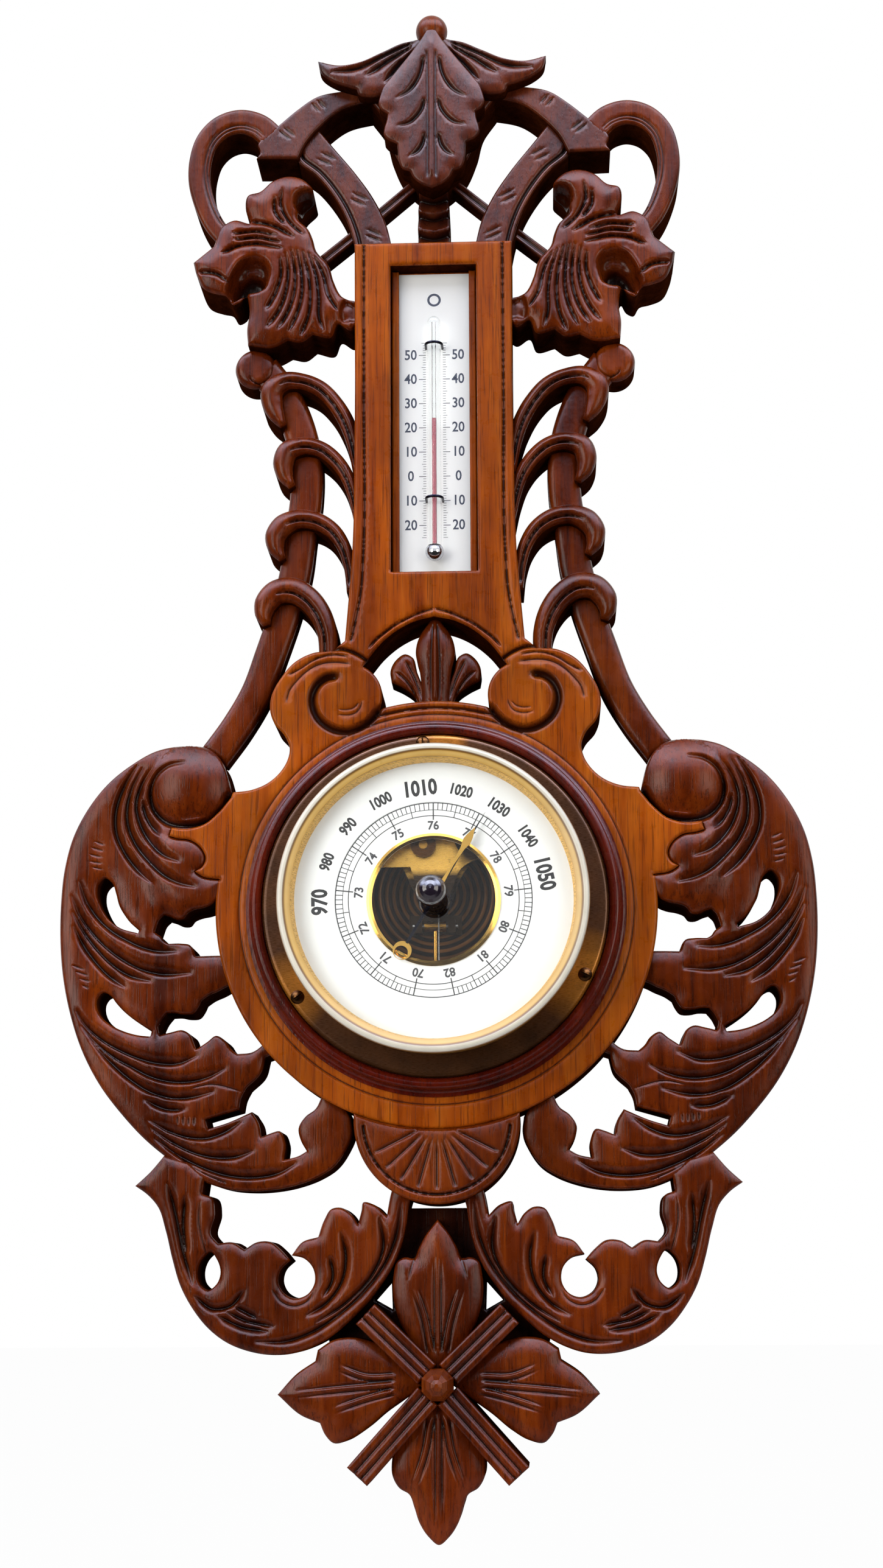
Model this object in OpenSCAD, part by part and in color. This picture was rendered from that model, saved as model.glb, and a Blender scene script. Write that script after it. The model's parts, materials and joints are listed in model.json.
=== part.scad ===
// Carved wall barometer: a pierced wooden case hung from a nail, with an aneroid
// barometer in its round board and a thermometer in its column.
// X is to the viewer's right, Z is up, and the wall is the plane Y = 0, so the
// front looks along -Y. "Depth" is always the distance in front of the wall.

/* [Hanging] */
// Height of the hanging hole above the dial's centre
hang_h = 354; // [345:1:362]
// Radius of the hanging hole
hang_r = 4; // [3:0.25:5]
// Width of the hanging plate
hanger_w = 26; // [20:1:30]
// Height of the hanging plate
hanger_h = 34; // [28:1:40]
// Thickness of the hanging plate
hanger_t = 1.5; // [1:0.1:2.5]
// Radius of the pocket behind the plate, for the nail's head
nail_pocket_r = 9; // [7:0.5:10]
// Depth of that pocket
nail_pocket_d = 10; // [6:0.5:14]

/* [Board and column] */
// Half width of the column at its head
column_half = 34.5; // [33:0.5:37]
// Height of the column's head above the dial's centre
column_top = 296; // [292:1:300]
// Depth of the flat face of column and round board
column_t = 28; // [26:0.5:30]
// Radius of the round board
round_r = 93; // [91:0.5:96]
// Radius of the rim that shows between the two volutes
rim_r = 89; // [87:0.5:90.5]
// Radius of each shoulder volute's eye
volute_r = 14.5; // [12:0.5:16]
// Depth cut round each volute
volute_cut = 6; // [3:0.5:9]
// Distance of the turned line from the round board's edge
line_in = 10; // [8:0.5:11]

/* [Turned moulding] */
// Width of the moulding outside the brass flange
moulding_w = 7.5; // [6:0.25:8]
// Depth of the moulding's crest
moulding_t = 37; // [34:0.5:40]
// Width of the moulding's crest bead
moulding_bead = 4.6; // [3:0.2:5]
// Depth of the seat for the brass flange
seat_t = 33; // [31:0.5:34]

/* [Carving] */
// Depth of the leaf scrolls at the sides
wing_t = 24; // [20:0.5:27]
// Depth of the ball in each side scroll
ball_t = 31; // [28:0.5:34]
// Depth of the carving tool's strokes
stroke_cut = 1.6; // [0.8:0.2:3]
// Depth of the animal heads
head_t = 28; // [24:0.5:32]
// Depth of the crest's arched bands
arch_t = 25; // [22:0.5:28]
// Depth of the crest's thin straps
strap_t = 14; // [10:0.5:18]
// Depth of the crest's leaf
crest_t = 38; // [34:0.5:42]
// Radius of the knob on top
crest_knob_r = 7; // [5:0.25:8]
// Radius of the side rods
rod_r = 5.6; // [4.5:0.1:6.5]
// Depth of the side rods' axis
rod_axis = 13; // [10:0.5:16]
// Depth of the hooks that cross the rods
hook_t = 26; // [23:0.5:28]
// Depth of the flower in the arched opening
fleuron_t = 24; // [20:0.5:27]
// Radius of the fan under the round board
fan_r = 34.5; // [32:0.5:36]
// Depth of the fan
fan_t = 30; // [28:0.5:33]
// Depth of the lower leaf scrolls
acanthus_t = 25; // [22:0.5:28]
// Depth of the flower's petals
petal_t = 26; // [23:0.5:30]
// Depth of the flower's four reeded bars
bar_t = 31; // [28:0.5:34]
// Width of those bars
bar_w = 11; // [8:0.5:12]
// Radius of the flower's button
button_r = 7; // [5:0.25:8]
// Depth of the flower's button
button_t = 41; // [37:0.5:44]

/* [Thermometer] */
// Width of the scale plate
plate_w = 32; // [28:0.5:36]
// Height of the scale plate
plate_h = 137; // [125:1:142]
// Thickness of the scale plate
plate_t = 1.2; // [0.8:0.1:2]
// Depth cut into the column for the thermometer
recess_d = 10; // [8:0.5:12]
// Radius of the glass tube
tube_r = 2.9; // [2.2:0.1:3.4]
// Length of the glass tube above the bulb's centre
tube_h = 107; // [95:1:112]
// Radius of the bulb
bulb_r = 4; // [3.6:0.1:4.6]
// Radius of the tube's bore
tube_bore_r = 0.7; // [0.4:0.1:1]
// Height of the liquid above the bulb's centre
liquid_h = 60; // [30:1:80]
// Radius of the wire clips
wire_r = 0.6; // [0.4:0.1:0.8]

/* [Brass case] */
// Outer radius of the brass drum
can_r = 61; // [60:0.25:61.5]
// Wall of the brass drum
can_wall = 1.2; // [0.8:0.1:1.6]
// Gap round the drum in the wood
can_gap = 0.8; // [0.5:0.1:1.5]
// Depth of the drum's back
can_back = 5; // [4:0.25:6]
// Width of the flange outside the glass ring
flange_w = 8.2; // [7:0.1:9]
// Thickness of the flange
flange_t = 3; // [2:0.25:4]
// Distance of the flange's screws from its edge
screw_inset = 3.5; // [3:0.1:4]
// Width of the glass ring outside the drum
ring_w = 3.3; // [2.5:0.1:3.8]
// Depth of the glass ring's front
bezel_t = 57; // [56:0.25:60]
// Thickness of the glass
glass_t = 1.8; // [1.2:0.1:2.2]
// Gap round the glass
glass_gap = 0.3; // [0.1:0.05:0.5]

/* [Dial] */
// Depth of the dial's face
dial_t = 47; // [46:0.25:48]
// Thickness of the dial
dial_plate_t = 1; // [0.6:0.1:1.4]
// Radius of the sunk scale
scale_r = 41; // [38:0.5:44]
// Depth of the sunk scale below the dial's face
scale_sink = 0.4; // [0.2:0.05:0.5]
// Radius of the dial's central opening
opening_r = 25.5; // [24:0.5:27]
// Width of the gilt rim round that opening
rim_w = 2.2; // [1.5:0.1:3]
// Length of the indicator from the centre to its tip
indicator_l = 42; // [38:0.5:46]
// Length of the indicator's tail to the crescent's centre
tail_l = 25; // [22:0.5:28]
// Length of the set hand
set_hand_l = 34; // [30:0.5:38]
// Thickness of the hands
hand_t = 0.6; // [0.4:0.1:0.8]
// Turn of both hands, clockwise from the top
hand_turn = 31; // [-60:1:60]
// Radius of the knob on the glass
knob_r = 6.3; // [5:0.1:7]
// Depth of the knob's front
knob_t = 77; // [72:0.5:80]

/* [Movement] */
// Radius of the movement's base plate
base_r = 46; // [45:0.25:48]
// Thickness of the base plate
base_t = 2; // [1.5:0.1:2.5]
// Height of the base plate's feet
foot_h = 2.8; // [2:0.1:3.4]
// Radius of the vacuum capsule
capsule_r = 28; // [25:0.5:29]
// Thickness of the vacuum capsule
capsule_t = 8; // [6:0.5:8.5]
// Spacing of the capsule's corrugations
wave_pitch = 3; // [2.5:0.1:4]
// Height of the capsule's corrugations
wave_h = 0.9; // [0.5:0.1:1.2]
// Width of the main spring
spring_w = 22; // [18:0.5:24]
// Thickness of the main spring
spring_t = 1.4; // [1:0.1:1.8]
// Radius of the drum that the chain winds on
drum_r = 1.25; // [1.1:0.05:1.6]
// Radius of the pointer's arbor
arbor_r = 0.9; // [0.7:0.05:1]
// Radius of the rocking shaft
shaft_r = 1.2; // [1:0.05:1.5]
// Reach of the rocking shaft's lifting crank
crank_l = 4; // [3.6:0.1:4.2]
// Radius of the adjusting screw
adjust_r = 2.5; // [2:0.1:3]
// Turning clearance of every shaft in its hole
run_gap = 0.05; // [0.03:0.01:0.08]

/* [Hidden] */
$fn = 64;
clear = 0.3;             // gap left between pieces that move past each other
eps = 0.01;
dial_z = -4;             // the dial's centre on the carvings' drawing
centre_z = dial_z;
drawn_column = 34.5;     // the column and board that the carvings were drawn round
drawn_top = 292;
drawn_rim = 93;
column_dx = column_half - drawn_column;
top_dz = column_top + dial_z - drawn_top;
rim_d = round_r - drawn_rim;
hang_z = hang_h + dial_z;
can_in = can_r - can_wall;
bezel_r = can_r + ring_w;
flange_r = bezel_r + flange_w;
flange_pitch_r = flange_r - screw_inset;
moulding_r = flange_r + moulding_w;
line_r = round_r - line_in;
can_floor = can_back + can_wall;
base_d = can_floor + foot_h;
base_top = base_d + base_t;
capsule_seat = 3;
capsule_z = 6;
capsule_d = base_top + capsule_seat;
capsule_top = capsule_d + capsule_t;
spring_bend = 42;
spring_top = capsule_top + 6.7;
spring_bottom = base_top;
lever_z = -9;
lever_d = spring_top + clear + 2.2;
cock_d = lever_d - 0.2;
drum_d = cock_d + 3;
bridge_d = drum_d + 4;
bridge_t = 1.5;
shaft_z = -capsule_r + capsule_z - 9;
shaft_d = 20;
chain_x = drum_r + 0.35;
chain_d = drum_d + 1.5;
link_z = shaft_z + crank_l;
glass_d = bezel_t - 2 - glass_t;
hand_d = dial_t + 1.6;
set_d = glass_d - 1.9;
recess_floor = column_t - recess_d;
plate_front = recess_floor + plate_t;
plate_z = 143.5;
tube_z = plate_z + 8.5;
tube_d = plate_front + wire_r / 2 + max(tube_r, bulb_r) + 0.1;

// Curves

// Knots are [x, z], or [x, z, 1] where the outline turns a sharp corner.
function knot(k, i) = let (p = k[(i + len(k)) % len(k)]) [p[0], p[1]];
function sharp(k, i) = len(k[(i + len(k)) % len(k)]) == 3;
function chord(k, i) = norm(knot(k, i + 1) - knot(k, i));
function heading(k, i) =
    let (before = chord(k, i - 1), after = chord(k, i))
    ((knot(k, i) - knot(k, i - 1)) * after / before
     + (knot(k, i + 1) - knot(k, i)) * before / after) / (before + after);
function leaving(k, i) = sharp(k, i) ? (knot(k, i + 1) - knot(k, i)) / chord(k, i) : heading(k, i);
function arriving(k, i) = sharp(k, i) ? (knot(k, i) - knot(k, i - 1)) / chord(k, i - 1) : heading(k, i);
function bend(a, ta, b, tb, t) =
    a * (1 + t * t * (2 * t - 3)) + ta * (t + t * t * (t - 2))
    + b * (t * t * (3 - 2 * t)) + tb * (t * t * (t - 1));
function leg(k, i, steps) =
    let (n = sharp(k, i) && sharp(k, i + 1) ? 1 : steps, d = chord(k, i))
    [for (s = [0 : n - 1])
        bend(knot(k, i), leaving(k, i) * d, knot(k, i + 1), arriving(k, i + 1) * d, s / n)];
// Closed outline through all knots
function outline(k, steps = 3) = [for (i = [0 : len(k) - 1]) each leg(k, i, steps)];
// Open path: both ends are sharp, and the leg that would close it is left out
function open_ends(k) =
    [for (i = [0 : len(k) - 1]) i == 0 || i == len(k) - 1 ? [k[i][0], k[i][1], 1] : k[i]];
function path(k, steps = 4) =
    let (o = open_ends(k))
    concat([for (i = [0 : len(o) - 2]) each leg(o, i, steps)], [knot(o, len(o) - 1)]);
// Outline that is the same on both sides of the middle line
function both(k) =
    concat(k, [for (i = [len(k) - 2 : -1 : 1]) len(k[i]) == 3 ? [-k[i][0], k[i][1], 1] : [-k[i][0], k[i][1]]]);
function side_of(p, i) =
    let (m = len(p) - 1, d = p[min(i + 1, m)] - p[max(i - 1, 0)]) [-d[1], d[0]] / norm(d);
// Band along a path, whose width goes from one value to another
function ribbon(k, from, to, steps = 4) =
    let (p = path(k, steps), m = len(p) - 1)
    concat([for (i = [0 : m]) p[i] + side_of(p, i) * (from + (to - from) * i / m) / 2],
           [for (i = [m : -1 : 0]) p[i] - side_of(p, i) * (from + (to - from) * i / m) / 2]);
// Cut of a carving tool, slender at both ends
function swell(t) = 0.12 + 0.88 * sin(180 * t);
function stroke(k, w, steps = 3) =
    let (p = path(k, steps), m = len(p) - 1)
    concat([for (i = [0 : m]) p[i] + side_of(p, i) * w / 2 * swell(i / m)],
           [for (i = [m : -1 : 0]) p[i] - side_of(p, i) * w / 2 * swell(i / m)]);

// Building blocks

// Carvings are drawn on a sheet whose height 0 lies just above the dial's centre
module on_sheet() { translate([0, 0, -hang_z]) children(); }
module at_dial() { translate([0, 0, centre_z - hang_z]) children(); }
// Solid between two depths, from an outline drawn as the viewer sees it
module slab(points, from, to) {
    translate([0, -from, 0]) rotate([90, 0, 0]) linear_extrude(to - from) polygon(points);
}
// Round solid that stands on the wall at [x, z]
module disc(x, z, r, from, to) {
    translate([x, -from, z]) rotate([90, 0, 0]) cylinder(r = r, h = to - from);
}
// Turned solid about the dial's axis: its section is [radius, depth]
module turned(section) {
    rotate([90, 0, 0]) rotate_extrude($fn = 96) polygon(section);
}
module pin_x(x0, x1, z, d, r) {
    translate([x0, -d, z]) rotate([0, 90, 0]) cylinder(r = r, h = x1 - x0, $fn = 32);
}
module strokes(list, w, depth) {
    for (k = list) slab(stroke(k, w), depth - stroke_cut, depth + 5);
}
module mirrored() { children(); mirror([1, 0, 0]) children(); }

// Outlines of the carvings, all for the viewer's right side
COLUMN = [[34.5, 292, 1], [34.5, 200], [35.5, 150], [37, 130], [38.5, 112, 1], [44, 108], [52, 107],
    [60, 103], [66, 96], [70, 88], [70.5, 82], [68.5, 76], [64, 70.5], [62, 65], [63, 60], [66, 55],
    [71, 50.5], [78, 47.5], [86, 46.5, 1], [60, 20, 1]];
EAR = [[80, 47, 1], [88, 46.5, 1], [112, 46, 1], [116, 28, 1], [104, 10, 1], [91, 8.5, 1], [80, 8, 1]];
ARCH = [[0, 125], [8, 123.2], [17, 118.3], [25, 111], [31, 103.5, 1], [29, 80, 1], [0, 80, 1]];
WING = [[80, 48, 1], [87, 46.5, 1], [88.5, 53], [91.5, 61], [97, 66.5], [107, 68], [120, 66], [130, 60.5],
    [140, 52.5], [149, 41], [155, 29], [158.5, 15], [160, 0], [160, -15], [158.5, -30], [155, -47],
    [149.5, -63], [142, -77], [132, -90], [122, -100.5], [113.5, -107.5], [105, -113.5], [97, -118],
    [88, -121], [78, -122], [68, -121.5], [58, -119.5], [50, -116.5], [43, -112], [38, -105], [35.5, -99],
    [36, -92, 1], [40, -84, 1], [48, -82, 1], [51, -88], [55, -91], [58, -96], [57, -101], [54.5, -105.5, 1],
    [58, -107.5], [64, -109, 1], [63.5, -102], [66, -97], [69, -97.7], [73.5, -99.5, 1], [74.5, -94],
    [77.5, -89, 1], [88, -93.5], [96, -96, 1], [97, -92, 1], [90, -90], [83, -88, 1], [82, -83],
    [80, -79, 1], [74, -73], [72, -66, 1], [66, -64, 1], [70, -58, 1], [78, -62.5], [84, -63.5],
    [88, -64.5, 1], [89.5, -59], [92, -56], [96, -59], [101, -61.5], [105, -60], [108, -54.5],
    [117, -55.5, 1], [117, -48.5, 1], [108, -48], [102, -46], [100.5, -40, 1], [93, -37], [84, -35, 1],
    [84, -23, 1], [92, -22], [105, -22, 1], [106, -17.5, 1], [112, -17.5], [117, -16.5, 1], [117, -9, 1],
    [112, -8], [106, -8.5, 1], [106, -5, 1], [100, -4.5], [95, -2], [92, 2], [84, 8, 1], [91, 9, 1],
    [99, 10.5], [102, 12.5, 1], [98.5, 15], [97.5, 18], [99, 22], [104, 26], [110, 27], [113, 28, 1],
    [112, 31.5, 1], [106, 31], [98, 33], [92, 38], [87, 44, 1], [80, 44, 1]];
WING_HOLES = [
    [[143, 3], [143, 8], [140, 12], [136, 12], [135, 6], [133, -1], [128, -8], [120.5, -11.5, 1],
     [120.5, -15.8, 1], [126, -15], [132, -13], [138, -9], [142, -3]],
    [[143, -43], [142, -38], [138, -37], [135, -41], [131, -46], [126, -51], [120, -54.5, 1],
     [121, -56.7, 1], [128, -56], [135, -53], [141, -48]]];
WING_STROKES = [
    [[128, 59.5], [132, 53.5], [135.3, 46], [137, 38], [136.5, 30], [133, 22], [127, 14], [121, 8.5]],
    [[125.5, 58.5], [130, 50], [132, 42], [131.5, 33], [128, 25], [122, 17.5], [115, 11], [108, 7.5], [102, 6]],
    [[122.5, 57], [126.5, 50], [128.2, 42], [126, 33], [121, 25], [115, 19.5], [109, 17]],
    [[125.5, 45], [124.5, 39], [121, 32.5], [117.5, 29]],
    [[155, 16], [154.5, 8], [151, -1], [145, -9.5], [137, -15.5], [128, -20], [118, -22.8], [108, -23.8]],
    [[152, -10], [148, -17], [142, -22.5], [134, -27], [125, -29.8], [115, -30.8], [105, -30.5]],
    [[149, -17], [144, -23], [137, -28.5], [129, -32], [119, -34.5], [107, -34.8]],
    [[147, -22], [141, -28], [133, -34], [125, -38], [117, -40]],
    [[152, -46], [149, -51], [143, -57], [135, -62], [126, -66], [117, -68.3], [108, -68.3], [101, -65.5]],
    [[150, -52], [144, -59], [137, -65], [128, -70], [120, -74], [112, -76], [103, -76], [96, -74.3], [89, -71]],
    [[146, -58], [138, -67], [129, -75], [120, -80.5], [111, -83], [103, -82.7], [94, -80.7]],
    [[122, -84], [114, -87.5], [106, -88]],
    [[120, -92.5], [112, -97], [104, -99.5], [96, -99.7], [88, -96.8], [82, -93]],
    [[119, -96], [110, -102], [100, -106.5], [92, -108], [84, -107.7], [77, -105.5]],
    [[118, -100], [108, -107], [98, -112], [88, -115.3], [76, -116.3], [66, -114.5], [58.5, -110.5]]];
HEAD = [[52, 291], [53, 295], [55, 300], [60, 306], [58, 312], [53, 318], [58, 324], [64, 325.5], [71, 323.5],
    [77, 318.5], [82, 317], [83, 310], [81, 304], [88, 305.5], [93, 303], [97, 293.5, 1], [106, 286, 1],
    [104.5, 280], [101, 273.5], [95, 271], [91, 270], [88, 266], [85, 267.5], [83, 271], [81, 263],
    [82, 254], [81.5, 247, 1], [70, 246], [64, 249, 1], [58, 248], [53, 251.5, 1], [45, 250], [42, 256],
    [36, 253], [33, 255, 1], [33, 266, 1], [40, 268.5], [44, 276], [46, 283]];
HEAD_STROKES = [
    [[52.5, 287], [48.3, 278], [46.2, 269], [42, 261.5]], [[55, 288.5], [51.6, 278], [50.2, 268], [50, 258], [48.5, 253]],
    [[57.5, 289], [55, 279], [54, 268], [55.2, 258], [58, 251]], [[60, 289.5], [58, 279], [57.8, 269], [60, 260], [63, 253]],
    [[62.5, 289.5], [60.9, 280], [61.2, 270], [64, 261], [68, 254]], [[65, 288.5], [63.9, 280], [64.7, 271], [67.8, 262], [72.5, 255]],
    [[67.5, 286], [67, 279], [69, 271], [73, 263]], [[66.5, 318.5], [67.3, 311], [64, 304], [57.5, 297.5]],
    [[70, 314.5], [69.8, 308], [66, 302.5]], [[61.5, 296], [69.5, 301], [80, 304.2]], [[69, 296.7], [78, 299.2], [88, 298.3]],
    [[67.5, 293.7], [77, 296.2], [87, 295.5]], [[67, 290.7], [76, 293.2], [86, 292.5], [92.5, 289.5]],
    [[90, 275.5], [95, 279.5], [103, 281.2]]];
HORN = [[71, 344], [78, 350.5], [86, 352.7], [94, 350.5], [100.5, 344], [103.5, 335], [104, 325],
    [101.5, 314], [97, 304], [91.5, 297]];
ARCH_BAND = [[24, 369, 1], [38, 366], [52, 363], [60, 357.5], [67, 351.5], [72, 347], [78, 340.5], [77, 337],
    [78.5, 334.5, 1], [60, 334, 1], [56, 342], [49, 350], [40, 357], [24, 361, 1]];
LOW_BAND = [[63, 340, 1], [60, 334], [52, 327], [45, 318], [39.5, 308], [36, 298], [34.5, 291, 1],
    [18, 291, 1], [21.5, 305], [27, 316.5], [34, 327], [45, 341], [52, 350, 1]];
STRAP = [[8, 326], [22, 314], [36, 302], [50, 290.5]];
SPINE = [[0, 330, 1], [6, 328, 1], [7, 306], [7, 291, 1], [0, 291, 1]];
BACKING = [[0, 386], [10, 380], [20, 371], [26, 369.5, 1], [28, 361, 1], [22, 352], [19, 341], [13, 328],
    [6, 321], [0, 318]];
CREST_LEAF = [[0, 389], [9, 385], [15, 378.5], [20.5, 370.5], [24.7, 363], [25, 357.5], [23.3, 353.8], [20, 352, 1], [22.8, 348.8],
    [23.2, 344.5], [21.3, 340.8], [17.3, 338.8, 1], [17.6, 334], [16, 329.7], [12.5, 326.6], [8, 325.7, 1], [5, 320.5], [0, 316.5, 1]];
SIDE_LEAF = [[2, 388.5, 1], [12, 386.5], [22, 381.5], [32, 377.8], [42, 377.6], [51, 379.5, 1], [49.5, 373.5],
    [44, 369], [36, 366.3], [31.5, 365.3, 1], [30.3, 362.2], [25.5, 361.6], [20, 362, 1], [12, 372, 1]];
CREST_STROKES = [
    [[1.9, 322], [1.7, 350], [1.9, 380]], [[4, 374.5], [8.5, 366.5], [15, 359]], [[4, 357], [7.5, 350.5], [12.8, 345.3]],
    [[4, 342], [6.3, 336.5], [9.5, 332.5]]];
SIDE_STROKES = [
    [[8, 387], [20, 381.7], [32, 375.8], [44, 373.2]], [[10, 384], [20, 377.2], [28, 370.2]], [[8, 382], [14.5, 376], [20, 367.5]]];
FLEURON_PETAL = [[0, 124], [4, 119.5], [7.5, 113.5], [8.5, 108], [7, 101], [6, 92], [6, 82, 1], [0, 82, 1]];
FLEURON_SIDE = [[3, 82, 1], [5, 92], [8, 100], [10, 106.5], [13, 108], [17, 105.5], [19.5, 100.5],
    [19, 95.5, 1], [14, 93], [9, 89], [7, 82, 1]];
ACANTHUS = [[126, -119.5, 1], [120, -114], [114, -107, 1], [104, -110, 1], [97, -116, 1], [98, -123, 1],
    [94, -124.5], [92.5, -131], [94, -140], [91, -143.5, 1], [85, -143], [80, -146, 1], [75, -143],
    [69, -143], [65, -146], [61, -150.5, 1], [65, -154.5], [66, -159], [64, -163.5], [59, -166],
    [54, -164.5], [51, -160], [51.5, -154], [55, -150], [60.5, -148.5, 1], [56, -143], [49.5, -141, 1],
    [47, -134], [44, -129.5], [40, -129], [36, -131.5], [33, -136, 1], [31.5, -130], [31, -127],
    [26, -128], [21, -132.5, 1], [19.5, -124], [17, -116, 1], [8, -118, 1], [12, -129], [13, -136],
    [15.5, -146], [19, -154], [24, -161.5], [29, -168], [36, -175], [43, -181], [52, -186],
    [60, -188.5], [69, -189], [78, -187.5], [87, -184], [95, -178], [101.5, -170], [106.5, -161],
    [110, -150], [113, -138], [116.5, -128], [121, -123]];
TEAR = [[97, -149], [99.5, -155], [98.5, -160], [95, -162.5], [91.5, -160], [90, -156], [91.5, -150], [94, -147]];
ACANTHUS_STROKES = [
    [[112, -119], [108.5, -133], [105.5, -147], [101.5, -160]], [[105, -124], [105.7, -136], [104.3, -149]],
    [[100.5, -165], [93, -170.2], [86, -169.2], [80, -163]],
    [[90.5, -173.2], [81, -177.6], [70, -179.5]], [[87, -171.5], [79, -175.2], [68, -177.4]], [[83.5, -169.5], [74.5, -174.2]],
    [[40, -139], [38, -149.5], [40, -160], [46, -168], [54, -173]], [[44.5, -149], [43.5, -158], [47, -165.5]],
    [[24, -133.5], [22.5, -145], [28, -158], [38, -168], [50, -176]],
    [[15, -127], [17, -140], [22, -152.3], [30, -162.8], [41, -172.8], [52, -179.8], [63, -183.5], [75, -183.6]]];
TOP_PETAL = [[0, -134, 1], [4, -139], [8, -146], [10, -150], [13.5, -149.5], [16.5, -151], [18.3, -157],
    [18.5, -165], [16.5, -174], [10, -187], [3, -198], [0, -200]];
SIDE_PETAL = [[66, -205, 1], [58, -196.5], [50.5, -191.5, 1], [49.5, -187, 1], [43, -183], [36, -182],
    [28, -183.5], [20, -187], [10, -194], [4, -200, 1], [12, -206], [22, -213], [30, -219.5],
    [37, -223.5], [43, -224.5], [46.5, -221], [48.5, -216.5, 1], [56, -213.5]];
LOW_PETAL = [[0, -200], [6, -208], [13, -216], [17, -223], [19, -231], [18.7, -238], [16, -242.5],
    [12, -245], [10, -250], [8, -256], [4, -262], [0, -265]];
WEB = [[0, -129, 1], [13, -129, 1], [17, -144], [26, -162], [36, -172], [46, -181], [44, -190, 1], [0, -196, 1]];
WEB_HOLE = [[19.8, -159.5, 1], [26.5, -167, 1], [19.4, -171, 1]];
PETAL_STROKES = [
    [[0, -188], [0, -170], [0, -150]], [[2.8, -188], [5.2, -175], [9, -163]],
    [[0, -213.5], [0, -234], [0, -255]], [[3.2, -214.5], [5.2, -227], [9.5, -240]],
    [[18, -200.9], [38, -202.5], [58, -204.5]], [[18, -197.7], [30, -197.7], [40, -194]],
    [[18, -203.6], [30, -206.7], [42, -210.7]]];

// Knot moved sideways and up, still sharp if it was
function moved(k, dx, dz) = len(k) == 3 ? [k[0] + dx, k[1] + dz, 1] : [k[0] + dx, k[1] + dz];
// The column's sides and head follow its own sizes
FITTED_COLUMN = concat([[0, 292 + top_dz, 1]],
    [for (k = COLUMN) k[1] > 110 ? moved(k, column_dx, k[1] > 250 ? top_dz : 0) : k], [[0, 20, 1]]);

// Wood
module board_solid() {
    slab(outline(both(FITTED_COLUMN)), 0, column_t);
    disc(0, centre_z, round_r, 0, column_t);
    mirrored() difference() {
        translate([rim_d, 0, 0]) slab(outline(EAR), 0, column_t - 1);
        wing_block();
    }
}
module arched_opening() {
    difference() {
        slab(outline(both(ARCH)), -5, column_t + 5);
        disc(0, centre_z, rim_r, -6, column_t + 6);
        mirrored() disc(37, 87.5, volute_r, -6, column_t + 6);
    }
}
module volute_groove() {
    difference() {
        disc(38, 86.3, volute_r + 2.8, column_t - volute_cut, column_t + 5);
        disc(37, 87.5, volute_r, column_t - volute_cut - 1, column_t + 6);
    }
}
module centre_board() {
    color("#a3541c") on_sheet() difference() {
        board_solid();
        arched_opening();
        mirrored() volute_groove();
        disc(0, centre_z, can_r + can_gap, -1, column_t + 5);
        translate([0, 0, centre_z]) turned([[line_r - 0.6, column_t], [line_r, column_t - 0.9],
            [line_r + 0.6, column_t], [line_r + 0.6, column_t + 0.4], [line_r - 0.6, column_t + 0.4]]);
        slab(thermometer_recess(), recess_floor, column_t + 5);
        mirrored() translate([column_dx, 0, 0])
            slab(ribbon([[30, 118], [28.8, 150], [28.8, 220], [28.8, 300]], 1.2, 1.2), column_t - 1.2, column_t + 5);
    }
}
function thermometer_recess() =
    let (w = plate_w / 2 + 0.5, z0 = plate_z - 0.5, z1 = plate_z + plate_h + 0.5)
    [[-w, z0], [w, z0], [w, z1], [-w, z1]];
module turned_moulding() {
    bead_c = flange_r + clear + moulding_bead / 2;
    color("#7a4030") at_dial() difference() {
        turned(concat(
            [[can_r + can_gap, column_t], [moulding_r, column_t]],
            [for (a = [0 : 15 : 90]) [moulding_r - 3 * sin(a), column_t + 0.8 + 3 * (1 - cos(a))]],
            [for (a = [0 : 15 : 180])
                [bead_c + moulding_bead / 2 * cos(a), moulding_t - moulding_bead / 2 + moulding_bead / 2 * sin(a)]],
            [[flange_r + clear, seat_t], [can_r + can_gap, seat_t]]));
        screw_ring(3, 356, flange_pitch_r) disc(0, 0, 1.55, seat_t - 8, seat_t + 1);
    }
}
module wing_block() { translate([rim_d, 0, 0]) slab(outline(WING), -1, wing_t + 9); }
module wing() {
    color("#7c3a22") on_sheet() difference() {
        translate([rim_d, 0, 0]) {
            difference() {
                slab(outline(WING), 0, wing_t);
                for (h = WING_HOLES) slab(outline(h), -1, wing_t + 1);
                strokes(WING_STROKES, 2.2, wing_t);
                difference() {
                    disc(107.5, 47.5, 20, wing_t - 4, wing_t + 1);
                    disc(105, 49.5, 16.5, wing_t - 5, wing_t + 2);
                    slab([[80, 50], [112, 50], [112, 70], [80, 70]], wing_t - 5, wing_t + 2);
                }
            }
            ball(105, 49.5, 16.1, wing_t - eps, ball_t);
        }
        disc(0, centre_z, round_r, -1, ball_t + 5);
        slab(outline(both(FITTED_COLUMN)), -1, ball_t + 5);
    }
}
// Low dome of radius r whose top is at depth "top"
module ball(x, z, r, from, top) {
    h = top - from;
    big = (r * r + h * h) / (2 * h);
    translate([x, -from, z]) rotate([90, 0, 0]) intersection() {
        translate([0, 0, h - big]) sphere(r = big);
        cylinder(r = r + 1, h = h + 1);
    }
}
module left_wing() { mirror([1, 0, 0]) wing(); }
module right_wing() { wing(); }
// Side pieces move with the column's side
module beside_column() { translate([column_dx, 0, 0]) children(); }
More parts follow.
